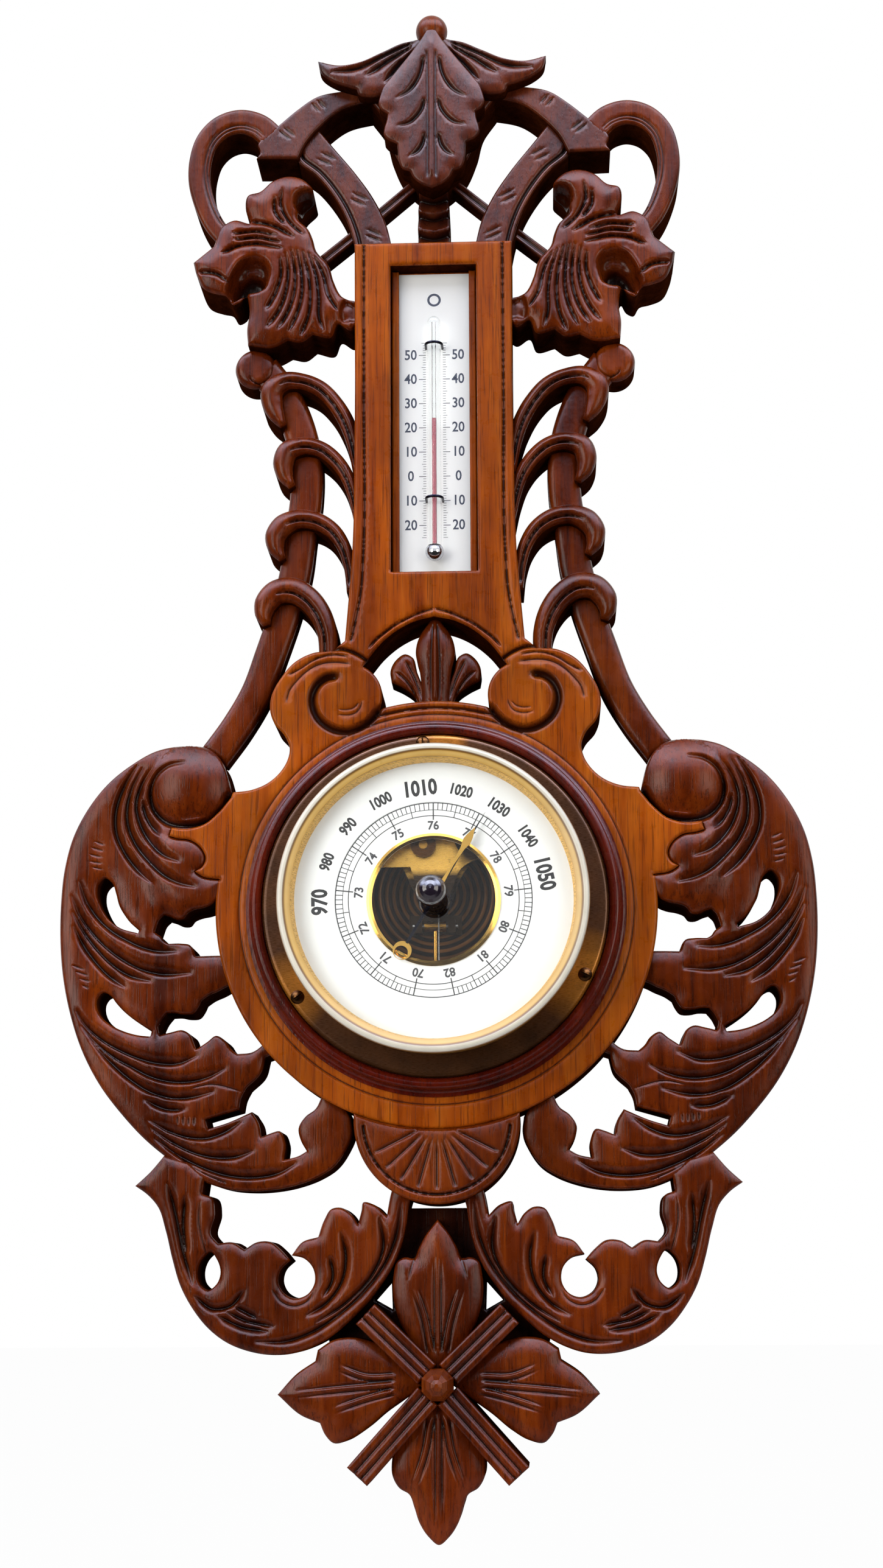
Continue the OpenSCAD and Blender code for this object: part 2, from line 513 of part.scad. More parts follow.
// Round rod of 12 sides that follows a path at one depth, from radius r0 to r1
module round_rod(k, r0, r1, d) {
    p = path(k, 2);
    m = len(p) - 1;
    sides = 12;
    ring = [for (i = [0 : m]) let (n = side_of(p, i), r = r0 + (r1 - r0) * i / m)
        for (a = [0 : sides - 1]) let (c = 360 * a / sides, x = p[i] + n * r * cos(c)) [x[0], -d - r * sin(c), x[1]]];
    walls = [for (i = [0 : m - 1]) for (a = [0 : sides - 1])
        let (b = (a + 1) % sides, q = i * sides) each [[q + a, q + sides + b, q + b], [q + a, q + sides + a, q + sides + b]]];
    ends = [[for (a = [0 : sides - 1]) a], [for (a = [sides - 1 : -1 : 0]) m * sides + a]];
    polyhedron(ring, concat(walls, ends));
}
HOOKS = [
    [[[75, 212], [74, 222], [67, 231], [58, 231], [48, 224], [40, 213], [35, 200], [33, 188]], 9, 6],
    [[[67, 184], [69, 194], [65, 201.5], [57, 201], [48, 195], [41, 186], [36, 175], [34, 162]], 8.5, 5.5],
    [[[69.5, 151], [71, 161], [66, 168.5], [58, 168.5], [49, 163.5], [42, 154], [38, 144], [36, 132]], 9, 5.5],
    [[[76.5, 122], [75, 132], [69, 138.5], [61, 137], [53, 131], [48, 122], [46, 114], [46, 103]], 11.5, 8]];
ROD = [[76, 240], [66, 226], [60, 212], [56.5, 196], [56.5, 180], [59, 162], [61, 146], [65, 130],
    [71.5, 110], [78, 92], [86, 78], [96, 64]];
module hook(h) { slab(ribbon(h[0], h[1], h[2]), 2, hook_t); }
module rod() {
    color("#7c3a22") on_sheet() difference() {
        union() {
            beside_column() {
                for (h = HOOKS) hook(h);
                disc(79, 239, 9, 4, rod_axis + rod_r + 1);
            }
            round_rod(ROD, rod_r, rod_r - 0.4, rod_axis);
        }
        for (h = HOOKS) beside_column()
            slab(stroke([for (i = [2 : len(h[0]) - 2]) h[0][i]], 1.6), hook_t - stroke_cut, hook_t + 5);
        slab(outline(both(FITTED_COLUMN)), -1, hook_t + 9);
        translate([rim_d, 0, 0]) slab(outline(WING), -1, hook_t + 9);
        disc(105, 49.5, 17.5, -1, hook_t + 9);
    }
}
module left_rod() { mirror([1, 0, 0]) rod(); }
module right_rod() { rod(); }
module head() {
    color("#7c3a22") on_sheet() difference() {
        beside_column() {
            difference() {
                slab(outline(HEAD), 2, head_t);
                disc(82, 277.5, 7, head_t - 15, head_t + 1);
                disc(55, 312, 5.2, head_t - 14, head_t + 1);
                strokes(HEAD_STROKES, 1.7, head_t);
            }
            difference() {
                slab(ribbon(HORN, 12, 8.5), 4, arch_t);
                slab(stroke(HORN, 1.8), arch_t - stroke_cut, arch_t + 5);
                slab(outline(HEAD), 1, head_t + 5);
                slab(outline(ARCH_BAND), 1, arch_t + 5);
            }
        }
        slab(outline(both(FITTED_COLUMN)), -1, head_t + 9);
        beside_column() disc(79, 239, 9, -1, head_t + 5);
        beside_column() slab(ribbon(STRAP, 5.4, 5.4), 3.5, strap_t + 0.1);
    }
}
module left_head() { mirror([1, 0, 0]) head(); }
module right_head() { head(); }
module crest_arches() {
    color("#84402a") on_sheet() translate([0, 0, top_dz]) difference() {
        union() {
            mirrored() beside_column() {
                difference() {
                    slab(outline(ARCH_BAND), 2, arch_t);
                    for (k = [[[49, 356.5], [54, 361]], [[46.5, 357.5], [51, 362]],
                              [[63, 343.5], [68, 348]], [[61, 345.5], [66, 350]]])
                        slab(stroke(k, 1.3), arch_t - 1, arch_t + 5);
                }
                difference() {
                    slab(outline(LOW_BAND), 2, arch_t - 3);
                    slab(stroke([[36, 297], [42, 312], [53, 327]], 1.2), arch_t - 4, arch_t + 5);
                    for (k = [[[44, 334], [50, 337]], [[29, 315], [35, 318]], [[23, 298], [30, 301]]])
                        slab(stroke(k, 1.3), arch_t - 4, arch_t + 5);
                }
                slab(ribbon(STRAP, 5, 5), 4, strap_t);
            }
            slab(outline(both(BACKING)), 0, arch_t);
            difference() {
                slab(outline(both(SPINE)), 2, arch_t - 5);
                for (z = [313, 304, 296]) translate([0, -arch_t + 2, z]) sphere(r = 5, $fn = 32);
            }
        }
        slab([[-60, 230], [60, 230], [60, 292], [-60, 292]], -1, arch_t + 5);
        translate([0, 0, -top_dz]) hanger_recess();
    }
}
module hanger_recess() {
    translate([-hanger_w / 2 - 0.2, -hanger_t, hang_z - hanger_h / 2 - 0.2])
        cube([hanger_w + 0.4, hanger_t + 1, hanger_h + 0.4]);
    disc(0, hang_z, nail_pocket_r, -1, nail_pocket_d);
    for (s = [-1, 1]) disc(0, hang_z + s * (hanger_h / 2 - 4), 1.6, -1, 12);
}
module crest_leaf() {
    color("#84402a") on_sheet() translate([0, 0, top_dz]) difference() {
        union() {
            difference() {
                slab(outline(both(CREST_LEAF)), arch_t, crest_t);
                mirrored() strokes(CREST_STROKES, 2, crest_t);
            }
            mirrored() difference() {
                slab(outline(SIDE_LEAF), arch_t, crest_t - 5);
                strokes(SIDE_STROKES, 2, crest_t - 5);
            }
        }
        translate([0, -crest_t + crest_knob_r, 389]) sphere(r = crest_knob_r);
    }
}
module crest_knob() {
    color("#84402a") on_sheet() translate([0, -crest_t + crest_knob_r, 389 + top_dz]) sphere(r = crest_knob_r);
}
module fleuron() {
    color("#6e3320") on_sheet() difference() {
        union() {
            slab(outline(both(FLEURON_PETAL)), 6, fleuron_t);
            mirrored() slab(outline(FLEURON_SIDE), 6, fleuron_t - 3);
        }
        for (s = [-1, 1]) slab(stroke([[s * 2, 86], [s * 2.4, 104], [0, 120]], 1.6), fleuron_t - stroke_cut, fleuron_t + 5);
        mirrored() strokes([[[6, 88], [9.5, 98], [13.5, 104]]], 1.6, fleuron_t - 3);
        disc(0, centre_z, rim_r, 0, fleuron_t + 5);
    }
}
module fan_boss() {
    color("#8f4a20") on_sheet() difference() {
        disc(0, centre_z - drawn_rim + 3.5 - rim_d, fan_r, 0, fan_t);
        translate([0, 0, centre_z - drawn_rim + 3.5 - rim_d]) {
            for (a = [-60 : 15 : 60]) rotate([0, a, 0])
                slab(stroke([[0, -8], [0, -19], [0, 4 - fan_r - 1]], 1.6), fan_t - stroke_cut, fan_t + 5);
            turned([[fan_r - 5, fan_t], [fan_r - 4.4, fan_t - 1.4], [fan_r - 3.8, fan_t],
                [fan_r - 3.8, fan_t + 0.5], [fan_r - 5, fan_t + 0.5]]);
        }
        disc(0, centre_z, round_r, -1, fan_t + 5);
        for (i = [0 : 1]) mirror([i, 0, 0]) translate([rim_d, 0, 0]) slab(outline(WING), -1, fan_t + 5);
    }
}
// The lower carvings hang from the round board's edge
module below_board() { translate([0, 0, -rim_d]) children(); }
module fan_space() { disc(0, centre_z - drawn_rim + 3.5 - rim_d, fan_r, -1, acanthus_t + 20); }
module acanthus() {
    color("#7c3a22") on_sheet() difference() {
        below_board() difference() {
            slab(outline(ACANTHUS), 0, acanthus_t);
            slab(outline(TEAR), -1, acanthus_t + 1);
            strokes(ACANTHUS_STROKES, 2.2, acanthus_t);
        }
        translate([rim_d, 0, 0]) slab(outline(WING), -1, acanthus_t + 9);
        fan_space();
    }
}
module left_acanthus() { mirror([1, 0, 0]) acanthus(); }
module right_acanthus() { acanthus(); }
module reeded_bar(x0, z0, a, l) {
    translate([x0, 0, z0]) rotate([0, -a, 0]) difference() {
        slab([[6, -bar_w / 2], [l, -bar_w / 2], [l, bar_w / 2], [6, bar_w / 2]], 0, bar_t);
        for (k = [-1, 1]) slab([[8, k * bar_w / 6 - 0.8], [l + 1, k * bar_w / 6 - 0.8], [l + 1, k * bar_w / 6 + 0.8],
            [8, k * bar_w / 6 + 0.8]], bar_t - 1.2, bar_t + 5);
    }
}
// Raised veins; those on the middle line aren't mirrored
module petal_veins() {
    for (k = PETAL_STROKES) {
        slab(stroke(k, 1.6), petal_t - 1, petal_t + 0.8);
        if (k[0][0] > 0) mirror([1, 0, 0]) slab(stroke(k, 1.6), petal_t - 1, petal_t + 0.8);
    }
}
module rosette() {
    color("#74351f") on_sheet() difference() {
        below_board() difference() {
            union() {
                slab(outline(both(WEB)), 2, 12);
                slab(outline(both(TOP_PETAL)), 0, petal_t);
                slab(outline(both(LOW_PETAL)), 0, petal_t);
                mirrored() {
                    slab(outline(SIDE_PETAL), 0, petal_t);
                    reeded_bar(0, -201, 44, 41);
                    reeded_bar(0, -201, -48, 49);
                }
                disc(0, -201, 11, 0, petal_t);
                petal_veins();
            }
            mirrored() slab(outline(WEB_HOLE), -1, petal_t + 1);
        }
        fan_space();
        mirrored() below_board() slab(outline(ACANTHUS), -1, petal_t + 9);
        below_board() disc(0, -201, button_r + 0.2, petal_t, bar_t + 1);
    }
}
module rosette_button() {
    color("#8f4a20") on_sheet() below_board() intersection() {
        disc(0, -201, button_r, petal_t, button_t);
        translate([0, -button_t + button_r * 1.2, -201]) rotate([90, 22.5, 0]) union() {
            rotate([0, 0, 22.5]) cylinder(r1 = button_r * 1.15, r2 = button_r * 0.35, h = button_r * 1.2, $fn = 8);
            translate([0, 0, -button_t]) cylinder(r = button_r * 1.15, h = button_t, $fn = 8);
        }
    }
}

// Brass plate that hangs on the nail
module hanger_plate() {
    color("#b08a3c") on_sheet() difference() {
        translate([-hanger_w / 2, -hanger_t, hang_z - hanger_h / 2]) cube([hanger_w, hanger_t, hanger_h]);
        disc(0, hang_z, hang_r, -1, hanger_t + 1);
        for (s = [-1, 1]) disc(0, hang_z + s * (hanger_h / 2 - 4), 1.6, -1, hanger_t + 1);
    }
}
module hanger_screws() {
    color("#8c8c86") on_sheet() for (s = [-1, 1]) {
        z = hang_z + s * (hanger_h / 2 - 4);
        disc(0, z, 1.6, 0, 12);
    }
}

// Thermometer
module scale_plate() {
    color("#eef1f6") on_sheet()
        translate([-plate_w / 2, -plate_front, plate_z]) cube([plate_w, plate_t, plate_h]);
}
module upright(r, z0, z1, d) { translate([0, -d, z0]) cylinder(r = r, h = z1 - z0, $fn = 48); }
module thermometer_tube() {
    color([0.85, 0.92, 0.96, 0.4]) on_sheet() difference() {
        union() {
            upright(tube_r, tube_z, tube_z + tube_h - tube_r, tube_d);
            translate([0, -tube_d, tube_z + tube_h - tube_r]) sphere(r = tube_r, $fn = 48);
            translate([0, -tube_d, tube_z]) sphere(r = bulb_r, $fn = 48);
        }
        translate([0, -tube_d, tube_z]) sphere(r = bulb_r - 0.7, $fn = 48);
        upright(tube_bore_r, tube_z, tube_z + tube_h - tube_r, tube_d);
    }
}
module thermometer_liquid() {
    color("#c8454e") on_sheet() {
        translate([0, -tube_d, tube_z]) sphere(r = bulb_r - 0.7, $fn = 48);
        upright(tube_bore_r, tube_z, tube_z + liquid_h, tube_d);
    }
}
module tube_clips() {
    clip_r = tube_r + 0.05 + wire_r;
    color("#24201e") on_sheet() for (z = [tube_z + 24, tube_z + 94]) translate([0, -tube_d, z]) {
        difference() {
            rotate_extrude($fn = 48) translate([clip_r, 0]) circle(r = wire_r, $fn = 16);
            translate([-clip_r - 1, 0, -1]) cube([2 * clip_r + 2, clip_r + 1, 2]);
        }
        for (s = [-1, 1]) translate([s * clip_r, tube_d - plate_front, 0]) rotate([90, 0, 0])
            cylinder(r = wire_r, h = tube_d - plate_front, $fn = 16);
    }
}

// Brass case of the barometer
module screw_ring(n, a0, r) {
    for (i = [0 : n - 1]) rotate([0, a0 + 360 / n * i, 0]) translate([0, 0, r]) children();
}
module case_drum() {
    color("#a07c34") at_dial() difference() {
        turned([[0, can_back], [can_r, can_back], [can_r, glass_d - 5], [can_in, glass_d - 5],
            [can_in, can_floor], [0, can_floor]]);
        disc(0, capsule_z, adjust_r + 2.2, 0, can_floor + 1);
        screw_ring(3, 60, base_r - 6) disc(0, 0, 1.6, 0, can_floor + 1);
    }
}
module flange() {
    arc = flange_t - 1;
    color("#4a3a22") at_dial() difference() {
        turned(concat([[can_r, seat_t], [flange_r, seat_t], [flange_r, seat_t + 1]],
            [for (a = [15 : 15 : 90]) [flange_r - arc * (1 - cos(a)), seat_t + 1 + arc * sin(a)]],
            [[can_r, seat_t + flange_t]]));
        screw_ring(3, 356, flange_pitch_r) disc(0, 0, 1.55, 0, seat_t + flange_t + 1);
    }
}
module flange_screws() {
    color("#6b5a3a") at_dial() screw_ring(3, 356, flange_pitch_r) difference() {
        union() {
            disc(0, 0, 1.5, seat_t - 4.5, seat_t + flange_t);
            ball(0, 0, 2.9, seat_t + flange_t, seat_t + flange_t + 1.6);
        }
        translate([-0.35, -seat_t - flange_t - 2, -4]) cube([0.7, 1.4, 8]);
    }
}
module glass_ring() {
    back = seat_t + flange_t;
    lip = can_in - 1.2;
    color("#d8b25a") at_dial() turned(concat(
        [[can_r, back], [bezel_r - 1.5, back], [bezel_r - 1.5, bezel_t - 6]],
        [for (a = [-60 : 20 : 120]) [bezel_r - 2 + 2 * cos(a), bezel_t - 2 + 2 * sin(a)]],
        [[lip, bezel_t - 1.2], [lip, glass_d + glass_t], [can_r, glass_d + glass_t]]));
}
module glass() {
    color([0.9, 0.95, 1, 0.25]) at_dial() difference() {
        disc(0, 0, can_r - glass_gap, glass_d, glass_d + glass_t);
        disc(0, 0, 1.2 + run_gap, glass_d - 1, glass_d + glass_t + 1);
    }
}
module reflector_ring() {
    color("#d39a3a") at_dial() turned([[can_in, dial_t], [can_in, glass_d - 5], [can_in + 1.2, glass_d - 5],
        [can_in + 1.2, glass_d], [can_in, glass_d], [can_in - 2.2, dial_t + 0.6], [can_in - 2.2, dial_t]]);
}
module dial() {
    color("#f2f3f5") at_dial() turned([[opening_r, dial_t - dial_plate_t], [can_in, dial_t - dial_plate_t],
        [can_in, dial_t], [scale_r, dial_t], [scale_r, dial_t - scale_sink], [opening_r, dial_t - scale_sink]]);
}
module dial_rim() {
    color("#d8a83c") at_dial() turned([[opening_r, dial_t - scale_sink], [opening_r + rim_w, dial_t - scale_sink],
        [opening_r + rim_w, dial_t + 0.1], [opening_r + rim_w / 2, dial_t + 0.5], [opening_r, dial_t + 0.1]]);
}

// Hands, drawn pointing up and turned to the reading
module at_reading() { at_dial() rotate([0, hand_turn, 0]) children(); }
module indicator() {
    color("#23222a") at_reading() difference() {
        union() {
            slab([[-0.8, 0], [-0.25, indicator_l - 6], [0, indicator_l], [0.25, indicator_l - 6], [0.8, 0]],
                hand_d, hand_d + hand_t);
            slab([[-0.55, -tail_l + 3.5], [-0.7, 0], [0.7, 0], [0.55, -tail_l + 3.5]], hand_d, hand_d + hand_t);
            disc(0, 0, 2.6, hand_d - 0.4, hand_d + hand_t + 0.4);
        }
        disc(0, 0, arbor_r, hand_d - 2, hand_d + 4);
    }
}
module indicator_crescent() {
    color("#d8a83c") at_reading() difference() {
        disc(0, -tail_l, 3.9, hand_d, hand_d + hand_t);
        disc(0, -tail_l - 0.9, 2.8, hand_d - 1, hand_d + 2);
        slab([[-0.55, -tail_l + 3.5], [0.55, -tail_l + 3.5], [0.7, 0], [-0.7, 0]], hand_d - 1, hand_d + 2);
    }
}
module set_hand() {
    color("#d8a83c") at_reading() {
        slab(outline([[0, set_hand_l, 1], [1.7, set_hand_l - 6.5], [0.9, set_hand_l - 10.5], [1.2, 0, 1],
            [-1.2, 0, 1], [-0.9, set_hand_l - 10.5], [-1.7, set_hand_l - 6.5]]), set_d, set_d + hand_t);
        disc(0, 0, 3, set_d - 0.2, set_d + 1.4);
    }
}
module set_knob() {
    color("#2b2430") at_dial() {
        disc(0, 0, 1.2, set_d + 1.4, knob_t - 8);
        turned(concat([[0, glass_d + glass_t + 3], [2.2, glass_d + glass_t + 3], [2.2, knob_t - 10],
            [knob_r - 0.6, knob_t - 9]], [for (a = [0 : 15 : 90]) [knob_r * cos(a), knob_t - 7 + 7 * sin(a)]]));
    }
}

// Movement
module base_plate() {
    color("#b88a34") at_dial() difference() {
        union() {
            disc(0, 0, base_r, base_d, base_top);
            screw_ring(3, 60, base_r - 6) disc(0, 0, 4, can_floor, base_d);
            disc(0, capsule_z, adjust_r + 5, base_top, capsule_d);
            for (s = [-1, 1]) difference() {
                translate([s * 12 - 1.5, -shaft_d - 3, shaft_z - 3]) cube([3, shaft_d + 3 - base_top, 6]);
                pin_x(-20, 20, shaft_z, shaft_d, shaft_r - 0.4 + run_gap);
            }
        }
        disc(0, capsule_z, adjust_r + run_gap, can_floor - 1, base_top + 1);
        disc(0, capsule_z, adjust_r + 2.5, base_top + 0.5, capsule_d + 1);
        screw_ring(3, 60, base_r - 6) disc(0, 0, 1.5, can_floor - 1, base_top + 1);
    }
}
module movement_screws() {
    color("#b9b9b2") at_dial() screw_ring(3, 60, base_r - 6) difference() {
        union() {
            disc(0, 0, 1.5, can_back - 1, base_top);
            disc(0, 0, 2.8, can_back - 1.8, can_back);
        }
        translate([-0.35, -can_back + 0.9, -4]) cube([0.7, 2, 8]);
    }
}
module adjusting_screw() {
    color("#b9b9b2") at_dial() difference() {
        disc(0, capsule_z, adjust_r, can_back - 1, base_top + 1.5);
        translate([-0.4, -can_back, capsule_z - 4]) cube([0.8, 2, 8]);
    }
}
function wave(r) = wave_h / 2 * cos(360 * r / wave_pitch);
module capsule() {
    n = floor((capsule_r - 9) / wave_pitch * 6);
    rings = [for (i = [0 : n]) let (r = 6.5 + i * wave_pitch / 6) [r, capsule_top - wave_h + wave(r)]];
    edge = 6.5 + n * wave_pitch / 6;
    color("#8a5a2c") at_dial() translate([0, 0, capsule_z]) turned(concat(
        [[0, capsule_d], [adjust_r + 8, capsule_d], [adjust_r + 9, capsule_d + wave_h],
         [edge, capsule_d + wave_h], [capsule_r, capsule_d + capsule_t / 2 - 0.6],
         [capsule_r, capsule_d + capsule_t / 2 + 0.6]],
        [for (i = [n : -1 : 0]) rings[i]],
        [[5, capsule_top], [0, capsule_top]]));
}
module capsule_post() {
    color("#c9a04a") at_dial() {
        disc(0, capsule_z, 1.8, capsule_top, spring_top + 0.6);
        disc(0, capsule_z, 3.6, capsule_top, capsule_top + 1.4);
    }
}
module main_spring() {
    r_in = (spring_top - spring_t - spring_bottom - spring_t) / 2;
    mid = (spring_top + spring_bottom) / 2;
    color("#7f8287") at_dial() difference() {
        union() {
            translate([-spring_w / 2, -spring_top, lever_z - 3])
                cube([spring_w, spring_t, spring_bend - lever_z + 3]);
            translate([-spring_w / 2, -spring_bottom - spring_t, spring_bend - 9]) cube([spring_w, spring_t, 9]);
            translate([-spring_w / 2, -mid, spring_bend]) rotate([0, 90, 0]) difference() {
                cylinder(r = r_in + spring_t, h = spring_w);
                translate([0, 0, -1]) cylinder(r = r_in, h = spring_w + 2);
                translate([0, -50, -1]) cube([50, 100, spring_w + 2]);
            }
            for (s = [-1, 1]) translate([s * 7 - 1.5, -lever_d - 2.4, lever_z - 3])
                cube([3, lever_d + 2.4 - spring_top, 6]);
        }
        disc(0, capsule_z, 1.8 + 0.1, spring_top - spring_t - 1, spring_top + 1);
        disc(-4.5, 24, 1.8 + 0.1, spring_top - spring_t - 1, spring_top + 1);
        pin_x(-12, 12, lever_z, lever_d, 1);
        for (s = [-1, 1]) disc(s * 6, spring_bend - 5, 1.25, spring_bottom - 1, spring_bottom + spring_t + 1);
        // The blade narrows over the capsule
        for (s = [0, 1]) mirror([s, 0, 0]) slab(outline([[5.2, -4, 1], [5, 6], [5.8, 14], [8.5, 20.5],
            [spring_w / 2 + 1, 24, 1], [spring_w / 2 + 1, -4, 1]]), spring_top - spring_t - 1, spring_top + 1);
    }
}
module spring_screws() {
    color("#b9b9b2") at_dial() for (s = [-1, 1]) {
        disc(s * 6, spring_bend - 5, 1.25, spring_bottom, spring_bottom + spring_t);
        disc(s * 6, spring_bend - 5, 2.4, spring_bottom + spring_t, spring_bottom + spring_t + 1.4);
    }
}
module lever_pin() { color("#b9b9b2") at_dial() pin_x(-9.5, 9.5, lever_z, lever_d, 1); }
module main_lever() {
    reach = lever_z - link_z;
    color("#c9a04a") at_dial() difference() {
        union() {
            pin_x(-4.5, 4.5, lever_z, lever_d, 2.2);
            translate([0, -lever_d, lever_z - reach]) cylinder(r = 0.9, h = reach, $fn = 24);
        }
        pin_x(-9, 9, lever_z, lever_d, 1 + run_gap);
    }
}
module link() {
    color("#c9a04a") at_dial() disc(0, link_z, 0.6, shaft_d + 1.3 + clear, lever_d - 0.9 - clear);
}
module rocking_shaft() {
    color("#c9a04a") at_dial() difference() {
        union() {
            pin_x(-10.2, 10.2, shaft_z, shaft_d, shaft_r);
            pin_x(-13.5, 13.5, shaft_z, shaft_d, shaft_r - 0.4);
            translate([-0.8, -shaft_d - 0.8, shaft_z]) cube([1.6, 1.6, crank_l]);
            pin_x(-0.8, 0.8, shaft_z + crank_l, shaft_d, 1.1);
            translate([chain_x - 0.6 + 1.4, -chain_d - 1, shaft_z - 0.8]) cube([1.2, chain_d + 1 - shaft_d, 1.6]);
            pin_x(chain_x - 0.4, chain_x + 1, shaft_z, chain_d, 0.5);
        }
    }
}
module chain() {
    links = 9;
    top = 1.5;
    pitch = (top - shaft_z - 1) / links;
    color("#d8d0b8") at_dial() for (i = [0 : links - 1])
        translate([chain_x - 0.25, -chain_d - 0.4, shaft_z + 1 + i * pitch])
            cube([0.5, 0.8, pitch + 0.01]);
}
module arbor() {
    color("#c9c4b6") at_dial() {
        disc(0, 0, arbor_r, cock_d, hand_d + hand_t + 1.2);
        disc(0, 0, drum_r, drum_d, drum_d + 3);
        for (d = [drum_d - 0.5, drum_d + 3]) disc(0, 0, drum_r + 1, d, d + 0.5);
    }
}
BRIDGE = [[-39, 22], [-34, 27], [-20, 26], [-5, 31], [8, 26, 1], [10, 22, 1], [18, 23], [34, 27], [39, 22],
    [34, 17], [18, 18], [11, 14], [7, 4], [4, -3], [0, -4.4], [-4, -3], [-7, 6], [-10, 15, 1], [-26, 15, 1],
    [-34, 17]];
module bridge() {
    color("#d39a3a") at_dial() difference() {
        union() {
            slab(outline(BRIDGE), bridge_d, bridge_d + bridge_t);
            slab(outline([[-12, 21], [-8, 22, 1], [12, 20, 1], [14, 17], [12, 14], [3, -2], [0, -3.6], [-3, -2],
                [-13, 15], [-14.5, 18]]), cock_d - 1.2, cock_d + 0.3);
            for (x = [-11.5, 11]) disc(x, 17.5, 1.3, cock_d, bridge_d + 0.1);
        }
        disc(0, 0, arbor_r + run_gap, cock_d - 5, bridge_d + 5);
        disc(-4.5, 24, 1.8 + 0.1, bridge_d - 1, bridge_d + 5);
        for (s = [-1, 1]) disc(s * 35, 22, 1.5, bridge_d - 1, bridge_d + 5);
        disc(-4.5, 24, 6, cock_d - 2, cock_d + 1);
    }
}
module bridge_pillars() {
    color("#c9a04a") at_dial() {
        for (s = [-1, 1]) {
            disc(s * 35, 22, 2.6, base_top, bridge_d);
            disc(s * 35, 22, 1.5, bridge_d, bridge_d + bridge_t);
            ball(s * 35, 22, 2.4, bridge_d + bridge_t, bridge_d + bridge_t + 1.2);
        }
        disc(-4.5, 24, 1.8, spring_top + clear, bridge_d + bridge_t + 2.4);
    }
}
module bridge_nut() {
    color("#3b3128") at_dial() difference() {
        disc(-4.5, 24, 5.3, bridge_d + bridge_t, bridge_d + bridge_t + 3);
        disc(-4.5, 24, 1.8, bridge_d, bridge_d + bridge_t + 5);
        disc(-4.5, 24, 3.6, bridge_d + bridge_t + 2, bridge_d + bridge_t + 5);
    }
}
module hairspring() {
    turns = 4;
    n = turns * 16;
    d0 = bridge_d + bridge_t + 0.6;
    function at(i, o) = let (r = arbor_r + clear + 0.6 + i / n * 5.6 + o, a = 90 + 360 * turns * i / n) [r * cos(a), r * sin(a)];
    color("#4a5a78") at_dial() {
        slab(concat([for (i = [0 : n]) at(i, 0)], [for (i = [n : -1 : 0]) at(i, 0.3)]), d0, d0 + 0.8);
        disc(0, arbor_r + clear + 0.6 + 5.6 + 0.6, 0.7, bridge_d + bridge_t, d0 + 0.9);
    }
}

centre_board();
turned_moulding();
left_wing();
right_wing();
left_rod();
right_rod();
left_head();
right_head();
crest_arches();
crest_leaf();
crest_knob();
fleuron();
fan_boss();
left_acanthus();
right_acanthus();
rosette();
rosette_button();
hanger_plate();
hanger_screws();
scale_plate();
thermometer_tube();
thermometer_liquid();
tube_clips();
case_drum();
flange();
flange_screws();
glass_ring();
glass();
reflector_ring();
dial();
dial_rim();
indicator();
indicator_crescent();
set_hand();
set_knob();
base_plate();
movement_screws();
capsule();
capsule_post();
main_spring();
spring_screws();
lever_pin();
main_lever();
link();
rocking_shaft();
chain();
arbor();
hairspring();
bridge();
bridge_pillars();
bridge_nut();
adjusting_screw();
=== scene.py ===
"""Carved wall barometer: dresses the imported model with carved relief, print and materials.

Carvings are drawn on a sheet in millimetres: x to the viewer's right, z up, and
height 0 just above the dial's centre. "Depth" is the distance in front of the wall.
"""
import json
import math

import bmesh
import bpy
import numpy as np
from mathutils import Matrix, Vector, geometry


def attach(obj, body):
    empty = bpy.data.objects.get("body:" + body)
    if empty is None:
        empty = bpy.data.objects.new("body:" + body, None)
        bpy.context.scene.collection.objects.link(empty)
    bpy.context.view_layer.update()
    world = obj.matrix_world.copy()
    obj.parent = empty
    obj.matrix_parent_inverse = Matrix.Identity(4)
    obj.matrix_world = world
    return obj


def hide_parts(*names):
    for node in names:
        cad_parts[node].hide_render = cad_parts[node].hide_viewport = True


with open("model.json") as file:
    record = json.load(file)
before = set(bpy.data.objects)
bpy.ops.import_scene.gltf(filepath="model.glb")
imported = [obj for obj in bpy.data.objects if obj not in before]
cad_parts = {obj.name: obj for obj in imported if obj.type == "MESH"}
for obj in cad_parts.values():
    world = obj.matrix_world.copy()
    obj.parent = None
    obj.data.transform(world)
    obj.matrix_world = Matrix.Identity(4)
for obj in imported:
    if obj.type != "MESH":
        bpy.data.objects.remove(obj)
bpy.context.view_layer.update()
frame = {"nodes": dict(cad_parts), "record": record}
NODES = frame["nodes"]

MM = 0.001
HANG_Z = 350.0       # height of the hanging hole on the sheet
DIAL_Z = -4.0        # height of the dial's centre
FLOWER_Z = -201.0    # height of the flower's centre

# Depths of the carvings' faces
FACE = 28.0          # column and round board
LEAF = 24.0          # side scrolls
HEAD_FACE = 28.0
ARCH_FACE = 25.0
CREST = 38.0
HOOK = 26.0
ROD_AXIS = 13.0
PETAL = 26.0
BAR = 31.0
FAN = 30.0
LOW_LEAF = 25.0
FLEURON = 24.0
RECESS_FLOOR = 18.0

# Radii
ROD_R = 5.6
BOARD_R = 93.0
RIM_R = 89.0         # lower edge of the arched opening
VOLUTE_R = 14.5
CAN_HOLE = 61.8
FAN_R = 34.5

